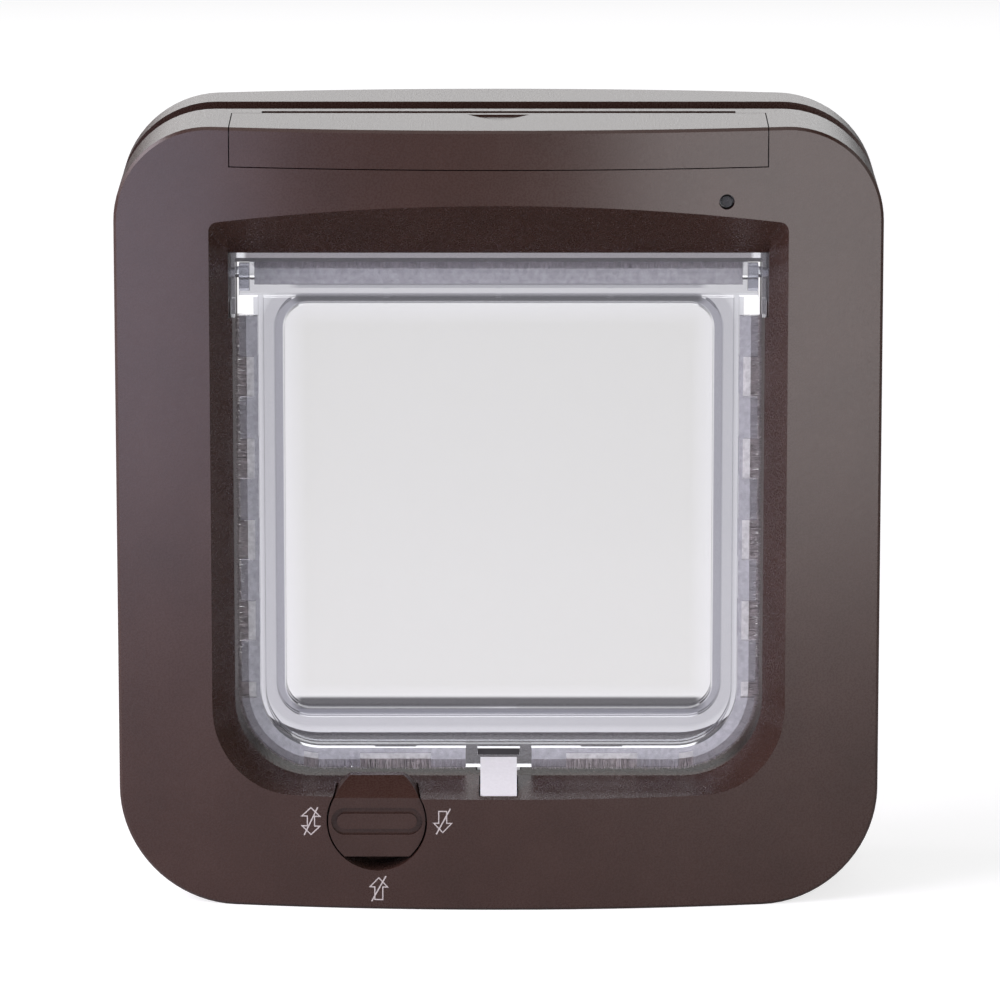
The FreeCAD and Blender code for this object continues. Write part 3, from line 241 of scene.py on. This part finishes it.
def carrier_tint_with_painted_shade(tree):
    """Grey long bar between pale end brackets: the bar's grey is painted shade for the dark pile seen through it.
    """
    place = add_node(tree, "ShaderNodeTexCoord")
    parts = add_node(tree, "ShaderNodeSeparateXYZ", None, {"Vector": (place, "Object")})
    across = add_node(tree, "ShaderNodeMath", {"operation": "ABSOLUTE"}, {0: (parts, "X")})
    end = add_node(tree, "ShaderNodeMapRange", None, {
        "Value": (across, 0), "From Min": BAR_HALF - BAR_BLEND, "From Max": BAR_HALF + BAR_BLEND})
    tint = add_node(tree, "ShaderNodeValToRGB", None, {"Fac": (end, "Result")})
    # Painted shade on the bar; the end brackets keep the plastic's own pale tint
    set_ramp(tint, [(0.0, srgb("8F8B8F")), (1.0, srgb("ECEDF1"))])
    return tint, "Color"


def darker(colour, share):
    """A linear colour dimmed to a share of itself."""
    return tuple(share * c for c in colour[:3]) + (1.0,)


def plain_moulding(name, colour, roughness, ior=1.5, grain_mm=0.8, strength=0.05):
    """Smooth moulded plastic with a faint unevenness in its skin."""
    material, tree, output = start_material(name)
    place = add_node(tree, "ShaderNodeTexCoord")
    skin = add_node(tree, "ShaderNodeTexNoise", None, {
        "Vector": (place, "Object"), "Scale": 1.0 / (grain_mm * MM), "Detail": 2.0})
    shade = add_node(tree, "ShaderNodeValToRGB", None, {"Fac": (skin, "Fac")})
    base = srgb(colour)
    set_ramp(shade, [(0.3, darker(base, 0.93)), (0.7, base)])
    bump = add_node(tree, "ShaderNodeBump", None, {
        "Height": (skin, "Fac"), "Strength": strength, "Distance": 0.05 * MM})
    shader = add_node(tree, "ShaderNodeBsdfPrincipled", None, {
        "Base Color": (shade, "Color"), "Roughness": roughness, "IOR": ior, "Normal": (bump, "Normal")})
    tree.links.new(shader.outputs["BSDF"], output.inputs["Surface"])
    return material


def pile_yarn(name, colour, roughness):
    """Polypropylene yarn: matt, uneven in tone, and lit partly from behind because its fibres let light through."""
    material, tree, output = start_material(name)
    place = add_node(tree, "ShaderNodeTexCoord")
    clumps = add_node(tree, "ShaderNodeTexNoise", None, {
        "Vector": (place, "Object"), "Scale": 1.0 / (1.2 * MM), "Detail": 2.0})
    shade = add_node(tree, "ShaderNodeValToRGB", None, {"Fac": (clumps, "Fac")})
    base = srgb(colour)
    set_ramp(shade, [(0.3, darker(base, 0.72)), (0.7, base)])
    matt = add_node(tree, "ShaderNodeBsdfPrincipled", None, {
        "Base Color": (shade, "Color"), "Roughness": roughness, "Specular IOR Level": 0.3})
    lit_through = add_node(tree, "ShaderNodeBsdfTranslucent", None, {"Color": (shade, "Color")})
    mix = add_node(tree, "ShaderNodeMixShader", None, {0: 0.4, 1: (matt, "BSDF"), 2: (lit_through, "BSDF")})
    tree.links.new(mix.outputs["Shader"], output.inputs["Surface"])
    return material


def metal(name, colour, roughness, streak_mm=(6.0, 0.15, 0.15)):
    """Drawn or turned metal: fine streaks along the work vary its gloss."""
    material, tree, output = start_material(name)
    place = add_node(tree, "ShaderNodeTexCoord")
    stretch = add_node(tree, "ShaderNodeMapping", None, {
        "Vector": (place, "Object"), "Scale": tuple(1.0 / (s * MM) for s in streak_mm)})
    streaks = add_node(tree, "ShaderNodeTexNoise", None, {
        "Vector": (stretch, "Vector"), "Scale": 1.0, "Detail": 3.0})
    gloss = add_node(tree, "ShaderNodeMapRange", None, {
        "Value": (streaks, "Fac"), "To Min": roughness - 0.08, "To Max": roughness + 0.12})
    bump = add_node(tree, "ShaderNodeBump", None, {
        "Height": (streaks, "Fac"), "Strength": 0.15, "Distance": 0.02 * MM})
    shader = add_node(tree, "ShaderNodeBsdfPrincipled", None, {
        "Base Color": srgb(colour), "Metallic": 1.0, "Roughness": (gloss, "Result"),
        "Normal": (bump, "Normal")})
    tree.links.new(shader.outputs["BSDF"], output.inputs["Surface"])
    return material


# One brown for every housing: its middle, dark and light tones
BROWN = ("3A2721", "37251F", "3D2A24")

finishes = {
    # Warm dark brown with a satin sheen; the tunnel's walls are nearly matt
    "brown_abs": satin_abs("brown_moulded_abs", *BROWN),
    "tunnel_abs": satin_abs("brown_tunnel_abs", *BROWN, 0.8, 0.28, 0.03),
    # Clear: a light grey pane and a grey bar, both with painted shade, and pale milky brackets and lugs
    "flap_pc_painted_shade": clear_polycarbonate("clear_flap_polycarbonate_painted_shade", flap_tint_and_painted_shade),
    "carrier_pc_painted_shade": clear_polycarbonate("clear_carrier_polycarbonate_painted_shade", carrier_tint_with_painted_shade, 0.05, 0.1),
    "clear_pc": clear_polycarbonate("clear_light_pipe_acrylic", "ECEDF1"),
    "clip_pc": clear_polycarbonate("clear_clip_polycarbonate", "D6D9DF", 0.05, 0.12),
    # Plain mouldings and magnets: off-white, near black and charcoal, with a weak sheen
    "white_acetal": plain_moulding("white_moulded_acetal", "E9E9EA", 0.3),
    "black_nylon": plain_moulding("black_moulded_nylon", "17171A", 0.45),
    "ferrite": plain_moulding("dark_coated_ferrite_magnet", "2C2A2C", 0.5),
    # Bare metal in grey, warm grey, yellow and copper, streaked along the work
    "zinc_steel": metal("zinc_plated_steel", "B9BBBC", 0.32),
    "nickel_spring": metal("nickel_plated_spring_strip", "CBC6BA", 0.25),
    "cut_brass": metal("cut_brass", "C9A45C", 0.3),
    "enamelled_copper": metal("enamelled_copper_winding", "A8562C", 0.35, (0.3, 0.3, 0.3)),
    # The board's green coat, the cells' plain dark sleeve and the diode's milky resin
    "solder_mask": plain_moulding("green_solder_mask", "1C5A38", 0.35),
    "cell_sleeve": plain_moulding("plain_cell_sleeve", "3A3D44", 0.3),
    "diode_epoxy": plain_moulding("diode_epoxy", "D9D8CF", 0.2),
    # Soft grey pile on a paler backing, and the dull white of the printed marks
    "grey_pile": pile_yarn("grey_polypropylene_pile", "DED8DA", 0.8),
    "pile_backing": pile_yarn("white_woven_pile_backing", "F6F6F6", 0.7),
    "white_ink": plain_moulding("white_pad_printing_ink", "C0B8B5", 0.5, 1.5, 0.2, 0.02),
}

node_finishes = {
    "brown_abs": ["front_housing", "exterior_frame", "battery_cover", "lock_knob", "screw_caps"],
    "tunnel_abs": ["rear_housing"],
    "flap_pc_painted_shade": ["flap"],
    "carrier_pc_painted_shade": ["hinge_carrier"],
    "clear_pc": ["light_pipe"],
    "clip_pc": ["pivot_clip_left", "pivot_clip_right"],
    "white_acetal": ["inner_latch", "outer_latch"],
    "black_nylon": ["lock_chassis", "knob_cam", "learn_switch", "learn_button"],
    "ferrite": ["flap_magnet", "floor_magnet"],
    "zinc_steel": ["lock_motor", "clamp_screws", "closing_screws"],
    "nickel_spring": ["battery_contact_left", "battery_contact_right"],
    "cut_brass": ["motor_pinion"],
    "enamelled_copper": ["antenna_coil"],
    "solder_mask": ["control_board"],
    "cell_sleeve": ["aa_cell_1", "aa_cell_2", "aa_cell_3", "aa_cell_4"],
    "diode_epoxy": ["status_diode"],
    "grey_pile": ["pile_seal_left", "pile_seal_right", "top_brush"],
}

for finish, names in node_finishes.items():
    for name in names:
        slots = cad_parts[name].data.materials
        slots.clear()
        slots.append(finishes[finish])


# Helpers for new pieces

def new_piece(name, shape, finish, body):
    """A bmesh as a finished object at the origin, riding on a body."""
    mesh = bpy.data.meshes.new(name)
    shape.to_mesh(mesh)
    shape.free()
    piece = bpy.data.objects.new(name, mesh)
    bpy.context.scene.collection.objects.link(piece)
    mesh.materials.append(finishes[finish])
    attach(piece, body)
    return piece


def face_outline(shape, points):
    """One flat face from its corner points."""
    return shape.faces.new([shape.verts.new(p) for p in points])


# Pile seals: a pale woven backing in the flap's channel, with short fibres on it

FIBRE_RADIUS, TIP_SHARE = 0.1 * MM, 0.45
TUFT = 50
SEAL_FIBRES, BRUSH_FIBRES = 5200, 4600
SEAL_REACH_MM = (0.55, 1.25)
BRUSH_SHORT_MM = (0.0, 0.9)
SEAL_LEAN_MM, BRUSH_LEAN_MM = 0.28, 0.45
TIP_DRIFT_MM = 0.1
BACKING_ROOT = 5.0 * MM
PILE_ROOT = 2.0 * MM
ROOT_SINK = 0.1 * MM
BRUSH_BACKING = 3.8 * MM
CHANNEL_HALF = 1.0 * MM
CORNER_STEPS = 12
FLAP_CORNER = 22.0 * MM

flap_low, flap_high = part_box("flap")
seal_low, seal_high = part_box("pile_seal_right")
brush_low, brush_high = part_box("top_brush")
HALF_WIDTH, FLAP_FLOOR = flap_high[0], flap_low[2]
SEAL_TOP = seal_high[2]
HINGE_Y = (seal_low[1] + seal_high[1]) / 2.0


def fibre_pile(fibres):
    """A bmesh of tapering three-sided fibres, each between its root and its tip, made in small tufts."""
    shape = bmesh.new()
    carrier = bpy.data.meshes.new("tuft")
    for start in range(0, len(fibres), TUFT):
        tuft = bmesh.new()
        for root, tip in fibres[start:start + TUFT]:
            run = tip - root
            turn = run.to_track_quat("Z", "X").to_matrix().to_4x4()
            bmesh.ops.create_cone(tuft, cap_ends=False, segments=3, radius1=FIBRE_RADIUS,
                                  radius2=FIBRE_RADIUS * TIP_SHARE, depth=run.length,
                                  matrix=Matrix.Translation(root + run / 2.0) @ turn)
        tuft.to_mesh(carrier)
        tuft.free()
        shape.from_mesh(carrier)
    bpy.data.meshes.remove(carrier)
    return shape


def rim_path(distance):
    """Point and outward direction along the flap's right edge, from the hinge end to the latch."""
    side_run = SEAL_TOP - FLAP_FLOOR - FLAP_CORNER
    arc_run = FLAP_CORNER * math.pi / 2.0
    if distance < side_run:
        return Vector((HALF_WIDTH, 0.0, SEAL_TOP - distance)), Vector((1.0, 0.0, 0.0))
    if distance < side_run + arc_run:
        angle = -(distance - side_run) / FLAP_CORNER
        out = Vector((math.cos(angle), 0.0, math.sin(angle)))
        return Vector((HALF_WIDTH - FLAP_CORNER, 0.0, FLAP_FLOOR + FLAP_CORNER)) + FLAP_CORNER * out, out
    x = HALF_WIDTH - FLAP_CORNER - (distance - side_run - arc_run)
    return Vector((x, 0.0, FLAP_FLOOR)), Vector((0.0, 0.0, -1.0))


def seal_backing(shape):
    """The backing of the right seal: a straight strip, swept round the corner and on to the latch."""
    centre = Vector((HALF_WIDTH - FLAP_CORNER, HINGE_Y, FLAP_FLOOR + FLAP_CORNER))
    inner, outer = HALF_WIDTH - BACKING_ROOT, HALF_WIDTH - PILE_ROOT + ROOT_SINK
    end = face_outline(shape, [Vector((x, HINGE_Y + y, SEAL_TOP)) for x, y in (
        (inner, -CHANNEL_HALF), (outer, -CHANNEL_HALF), (outer, CHANNEL_HALF), (inner, CHANNEL_HALF))])
    end = push_on(shape, end, Vector((0.0, 0.0, centre.z - SEAL_TOP)))
    swept = bmesh.ops.spin(shape, geom=[end], cent=centre, axis=(0.0, 1.0, 0.0), angle=math.pi / 2.0,
                           steps=CORNER_STEPS)
    end = [f for f in swept["geom_last"] if isinstance(f, bmesh.types.BMFace)][0]
    push_on(shape, end, Vector((seal_low[0] - centre.x, 0.0, 0.0)))
    bmesh.ops.recalc_face_normals(shape, faces=shape.faces)


def push_on(shape, face, run):
    """Extrudes one face by a run and gives the new end face."""
    grown = bmesh.ops.extrude_face_region(shape, geom=[face])["geom"]
    bmesh.ops.translate(shape, vec=run, verts=[v for v in grown if isinstance(v, bmesh.types.BMVert)])
    return [f for f in grown if isinstance(f, bmesh.types.BMFace)][0]


def pile_seal(name, node, side, seed):
    """Fibres and backing of one seal, from under the hinge round the corner to the latch."""
    chance = random.Random(seed)
    side_run, arc_run = SEAL_TOP - FLAP_FLOOR - FLAP_CORNER, FLAP_CORNER * math.pi / 2.0
    length = side_run + arc_run + (HALF_WIDTH - FLAP_CORNER - seal_low[0])
    fibres = []
    for n in range(SEAL_FIBRES):
        distance = length * (n + chance.random()) / SEAL_FIBRES
        edge, out = rim_path(distance)
        along = Vector((-out.z, 0.0, out.x))
        y = HINGE_Y + chance.uniform(-CHANNEL_HALF, CHANNEL_HALF)
        root = edge - out * PILE_ROOT
        tip = edge + out * chance.uniform(*SEAL_REACH_MM) * MM + along * chance.gauss(0.0, SEAL_LEAN_MM) * MM
        root.y = y
        tip.y = y + chance.uniform(-TIP_DRIFT_MM, TIP_DRIFT_MM) * MM
        fibres.append((root, tip))
    shape = fibre_pile(fibres)
    pile_faces = len(shape.faces)
    seal_backing(shape)
    backed_piece(name, shape, pile_faces, node, side)


def backed_piece(name, shape, pile_faces, node, side=1.0):
    """A pile piece in two finishes, mirrored where its side asks for it, in place of its CAD node."""
    shape.faces.ensure_lookup_table()
    for face in shape.faces[pile_faces:]:
        face.material_index = 1
    if side < 0.0:
        bmesh.ops.scale(shape, vec=(-1.0, 1.0, 1.0), verts=shape.verts)
        bmesh.ops.reverse_faces(shape, faces=shape.faces)
    piece = new_piece(name, shape, "grey_pile", "flap")
    piece.data.materials.append(finishes["pile_backing"])
    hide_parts(node)


def top_brush_pile():
    """Upright fibres of the brush in the flap's top channel, on their backing."""
    chance = random.Random(11)
    fibres = []
    half = brush_high[0]
    base = brush_low[2] + BRUSH_BACKING
    for n in range(BRUSH_FIBRES):
        x = -half + 2.0 * half * (n + chance.random()) / BRUSH_FIBRES
        y = HINGE_Y + chance.uniform(-CHANNEL_HALF, CHANNEL_HALF)
        root = Vector((x, y, base))
        height = brush_high[2] - chance.uniform(*BRUSH_SHORT_MM) * MM
        tip_x = x + chance.gauss(0.0, BRUSH_LEAN_MM) * MM
        tip = Vector((tip_x, y + chance.uniform(-TIP_DRIFT_MM, TIP_DRIFT_MM) * MM, height))
        fibres.append((root, tip))
    shape = fibre_pile(fibres)
    pile_faces = len(shape.faces)
    end = face_outline(shape, [Vector((-half, HINGE_Y + y, z)) for y, z in (
        (-CHANNEL_HALF, brush_low[2]), (CHANNEL_HALF, brush_low[2]), (CHANNEL_HALF, base + ROOT_SINK),
        (-CHANNEL_HALF, base + ROOT_SINK))])
    push_on(shape, end, Vector((2.0 * half, 0.0, 0.0)))
    bmesh.ops.recalc_face_normals(shape, faces=shape.faces[pile_faces:])
    backed_piece("top_brush_pile", shape, pile_faces, "top_brush")


pile_seal("pile_fibres_right", "pile_seal_right", 1.0, 3)
pile_seal("pile_fibres_left", "pile_seal_left", -1.0, 5)
top_brush_pile()


# Printed marks round the knob

BOW_RADIUS = 460.0 * MM
FRONT_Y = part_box("front_housing")[0][1]
INK_LIFT, SLASH_LIFT = 0.015 * MM, 0.012 * MM
INK_THICKNESS = 0.02 * MM
INK_LINE, POINTER_LINE = 0.3, 0.34
SLASH_SHARE = 0.6


def bowed_y(x):
    """Depth of the bowed face at x."""
    return FRONT_Y + BOW_RADIUS - math.sqrt(BOW_RADIUS ** 2 - x ** 2)


def ink_outline(shape, corners, width):
    """A closed printed line: a face inset by the line's width, with its middle taken out."""
    face = face_outline(shape, [Vector((x * MM, 0.0, z * MM)) for x, z in corners])
    face.normal_update()
    bmesh.ops.inset_individual(shape, faces=[face], thickness=width * MM, use_even_offset=True)
    bmesh.ops.delete(shape, geom=[face], context="FACES_ONLY")


def ink_film(shape):
    """Turns every printed face to the front and gives it the film's thickness."""
    bmesh.ops.recalc_face_normals(shape, faces=shape.faces)
    for face in shape.faces:
        if face.normal.y > 0.0:
            face.normal_flip()
    bmesh.ops.solidify(shape, geom=shape.faces[:], thickness=INK_THICKNESS)


def printed_mark(name, centre, outline, slash):
    """An outlined arrow with a stroke through it, lying on the bowed face."""
    shape = bmesh.new()
    ink_outline(shape, outline, INK_LINE)
    x0, z0, x1, z1 = slash
    run = Vector((x1 - x0, z1 - z0)).normalized()
    across = Vector((-run.y, run.x)) * INK_LINE * SLASH_SHARE
    stroke = [(x0 - across.x, z0 - across.y), (x1 - across.x, z1 - across.y),
              (x1 + across.x, z1 + across.y), (x0 + across.x, z0 + across.y)]
    face_outline(shape, [Vector((x * MM, -SLASH_LIFT, z * MM)) for x, z in stroke])
    ink_film(shape)
    for vert in shape.verts:
        vert.co.x += centre[0] * MM
        vert.co.z += centre[1] * MM
        vert.co.y += bowed_y(vert.co.x) - INK_LIFT
    new_piece(name, shape, "white_ink", "housing")


def block_arrow(width, shaft, head, tip, tail):
    """Corners of an upright block arrow: tip and tail are heights from its middle."""
    shoulder = tip - head
    return [(0.0, tip), (-width / 2.0, shoulder), (-shaft / 2.0, shoulder), (-shaft / 2.0, tail),
            (shaft / 2.0, tail), (shaft / 2.0, shoulder), (width / 2.0, shoulder)]


def upside_down(corners):
    """The same outline turned over."""
    return [(x, -z) for x, z in reversed(corners)]


def double_arrow(width, shaft, head, reach):
    """Corners of a block arrow with a head at each end."""
    shoulder = reach - head
    return [(0.0, reach), (-width / 2.0, shoulder), (-shaft / 2.0, shoulder), (-shaft / 2.0, -shoulder),
            (-width / 2.0, -shoulder), (0.0, -reach), (width / 2.0, -shoulder), (shaft / 2.0, -shoulder),
            (shaft / 2.0, shoulder), (width / 2.0, shoulder)]


# Where each mark stands, its outline and its stroke, in millimetres
printed_mark("print_both_ways_locked", (-51.8, 24.8), double_arrow(5.7, 2.3, 2.8, 4.05),
             (-1.9, -4.05, 1.9, 4.0))
printed_mark("print_inward_locked", (-15.4, 25.3), upside_down(block_arrow(5.6, 2.5, 3.0, 3.3, -3.1)),
             (-1.8, -3.6, 2.1, 3.7))
printed_mark("print_outward_locked", (-33.1, 5.9), block_arrow(5.6, 2.5, 3.0, 3.4, -3.2),
             (-2.0, -3.6, 2.0, 3.7))

KNOB_X = -33.6 * MM
FACET_RUN, FACET_RISE = 8.8 * MM, 5.1 * MM
FACET_MIDDLE = Vector((KNOB_X + 0.1 * MM, -31.6 * MM, 33.73 * MM))
POINTER_HALF, POINTER_TIP = 4.6, 1.75
POINTER_STRETCH = 1.75


def knob_pointer():
    """White outlined triangle printed on the knob's sloping facet."""
    shape = bmesh.new()
    ink_outline(shape, [(-POINTER_HALF, -POINTER_TIP), (POINTER_HALF, -POINTER_TIP), (0.0, POINTER_TIP)],
                POINTER_LINE)
    ink_film(shape)
    lean = math.atan2(FACET_RUN, FACET_RISE)
    place = Matrix.Translation(FACET_MIDDLE) @ Matrix.Rotation(-lean, 4, "X")
    stretch = Matrix.Diagonal((1.0, 1.0, POINTER_STRETCH, 1.0))
    bmesh.ops.transform(shape, matrix=place @ stretch, verts=shape.verts)
    new_piece("print_knob_pointer", shape, "white_ink", "lock_knob")


knob_pointer()


# Threads of the clamp screws, where they cross the gap that the door fills

SCREW_HEAD = 3.8 * MM
SHANK_RADIUS = 1.9 * MM
THREAD_HEIGHT = 0.28 * MM
THREAD_PITCH = 0.8 * MM
THREAD_SINK = 0.1 * MM
CREST_SHARE, FOOT_SHARE = 0.36, 0.72
STEPS_PER_TURN = 24
DOOR_GAP = (1.2 * MM, 13.3 * MM)


def screw_thread(shape, x, z):
    """One helical ridge: a triangle spun round the shank as it moves along it."""
    start, end = DOOR_GAP
    turns = int((end - start) / THREAD_PITCH) - 1
    crest = face_outline(shape, [Vector((x + reach, start + along, z)) for reach, along in (
        (SHANK_RADIUS - THREAD_SINK, 0.0), (SHANK_RADIUS + THREAD_HEIGHT, THREAD_PITCH * CREST_SHARE),
        (SHANK_RADIUS - THREAD_SINK, THREAD_PITCH * FOOT_SHARE))])
    bmesh.ops.spin(shape, geom=[crest], cent=(x, start, z), axis=(0.0, 1.0, 0.0),
                   dvec=(0.0, THREAD_PITCH / STEPS_PER_TURN, 0.0), angle=2.0 * math.pi * turns,
                   steps=turns * STEPS_PER_TURN)


def clamp_screw_threads():
    """The ridges of all four clamp screws."""
    shape = bmesh.new()
    low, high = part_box("clamp_screws")
    for x in (low[0] + SCREW_HEAD, high[0] - SCREW_HEAD):
        for z in (low[2] + SCREW_HEAD, high[2] - SCREW_HEAD):
            screw_thread(shape, x, z)
    bmesh.ops.recalc_face_normals(shape, faces=shape.faces)
    new_piece("clamp_screw_threads", shape, "zinc_steel", "housing")


clamp_screw_threads()


# Studio: a white table and surround, lamps, and the camera, whose lens was worked out from the photograph

FLOOR_HALF = 8.0
CAMERA_DISTANCE, CAMERA_TILT = 2.0, math.radians(12.3)
AIM_Y, AIM_Z = -0.0015, 0.108
PICTURE_PIXELS, FOCAL_PIXELS = 1000.0, 7194.4
CENTRE_COLUMN, CENTRE_ROW = 498.6, 501.4
SENSOR_WIDTH = 36.0
FAR_CLIP = 50.0


def seen_by_eye(tree):
    """One where the surround is seen straight or through clear plastic, zero where a surface mirrors it."""
    ray = add_node(tree, "ShaderNodeLightPath")
    straight = add_node(tree, "ShaderNodeMath", {"operation": "MAXIMUM"}, {
        0: (ray, "Is Camera Ray"), 1: (ray, "Is Transmission Ray")})
    unmirrored = add_node(tree, "ShaderNodeMath", {"operation": "LESS_THAN"}, {
        0: (ray, "Glossy Depth"), 1: 0.5})
    return add_node(tree, "ShaderNodeMath", {"operation": "MULTIPLY"}, {
        0: (straight, 0), 1: (unmirrored, 0)})


def studio_floor():
    """Pale table that runs on far behind; it shows white to the eye and still takes the shadow."""
    mesh = bpy.data.meshes.new("studio_floor")
    shape = bmesh.new()
    bmesh.ops.create_grid(shape, x_segments=1, y_segments=1, size=FLOOR_HALF)
    shape.to_mesh(mesh)
    shape.free()
    floor = bpy.data.objects.new("studio_floor", mesh)
    bpy.context.scene.collection.objects.link(floor)
    material, tree, output = start_material("white_table_laminate")
    matt = add_node(tree, "ShaderNodeBsdfDiffuse", None, {"Color": srgb("B4B4B4")})
    glow = add_node(tree, "ShaderNodeEmission", None, {"Color": srgb("FFFFFF"), "Strength": 0.72})
    seen = add_node(tree, "ShaderNodeAddShader", None, {0: (matt, "BSDF"), 1: (glow, "Emission")})
    mix = add_node(tree, "ShaderNodeMixShader", None, {
        0: (seen_by_eye(tree), 0), 1: (matt, "BSDF"), 2: (seen, "Shader")})
    tree.links.new(mix.outputs["Shader"], output.inputs["Surface"])
    floor.data.materials.append(material)


def studio_world():
    """White surround for the eye, softer fill for the object."""
    world = bpy.data.worlds.new("studio")
    bpy.context.scene.world = world
    world.use_nodes = True
    tree = world.node_tree
    tree.nodes.clear()
    fill = add_node(tree, "ShaderNodeBackground", None, {"Color": srgb("F4F6FA"), "Strength": 0.08})
    white = add_node(tree, "ShaderNodeBackground", None, {"Color": srgb("FFFFFF"), "Strength": 1.0})
    mix = add_node(tree, "ShaderNodeMixShader", None, {
        0: (seen_by_eye(tree), 0), 1: (fill, "Background"), 2: (white, "Background")})
    add_node(tree, "ShaderNodeOutputWorld", None, {"Surface": (mix, "Shader")})


def softbox(name, place, aim, size, power, colour="FFFFFF"):
    """Rectangular area lamp at a place, turned to its aim."""
    light = bpy.data.lights.new(name, "AREA")
    light.shape = "RECTANGLE"
    light.size, light.size_y = size
    light.energy = power
    light.color = srgb(colour)[:3]
    lamp = bpy.data.objects.new(name, light)
    bpy.context.scene.collection.objects.link(lamp)
    lamp.location = place
    lamp.rotation_euler = (Vector(aim) - Vector(place)).to_track_quat("-Z", "Y").to_euler()


def studio_camera():
    """Long lens two metres off, a little above the object, as in the photograph."""
    data = bpy.data.cameras.new("camera")
    data.sensor_width = SENSOR_WIDTH
    data.lens = FOCAL_PIXELS * SENSOR_WIDTH / PICTURE_PIXELS
    data.shift_x = (PICTURE_PIXELS / 2.0 - CENTRE_COLUMN) / PICTURE_PIXELS
    data.shift_y = (CENTRE_ROW - PICTURE_PIXELS / 2.0) / PICTURE_PIXELS
    data.clip_end = FAR_CLIP
    camera = bpy.data.objects.new("camera", data)
    bpy.context.scene.collection.objects.link(camera)
    camera.location = (0.0, AIM_Y - CAMERA_DISTANCE * math.cos(CAMERA_TILT),
                       AIM_Z + CAMERA_DISTANCE * math.sin(CAMERA_TILT))
    camera.rotation_euler = (math.pi / 2.0 - CAMERA_TILT, 0.0, 0.0)
    bpy.context.scene.camera = camera


studio_floor()
studio_world()
# Each lamp's place, aim and size in metres, its power in watts and its tone
softbox("right_panel", (0.235, -0.395, 0.155), (0.094, -0.03, 0.12), (0.295, 0.3), 0.88, "FFFCFD")
softbox("left_panel", (-0.325, -0.405, 0.155), (-0.137, -0.03, 0.12), (0.25, 0.3), 0.53, "E0E3FF")
softbox("left_softbox", (-1.3, -0.45, 0.75), (0.0, 0.0, 0.1), (1.4, 1.2), 36.0, "FCF4FF")
softbox("right_softbox", (1.3, -0.3, 0.6), (0.0, 0.0, 0.1), (1.2, 1.0), 2.5)
softbox("top_softbox", (0.0, -0.1, 1.5), (0.0, 0.0, 0.1), (1.4, 1.0), 3.0)
softbox("back_softbox", (0.0, 1.7, 0.62), (0.0, 0.0, 0.2), (2.6, 0.7), 8.5)
softbox("front_softbox", (0.0, -1.3, 1.5), (0.0, 0.0, 0.1), (1.2, 0.8), 1.5)
studio_camera()

bpy.context.scene.view_settings.view_transform = "Standard"
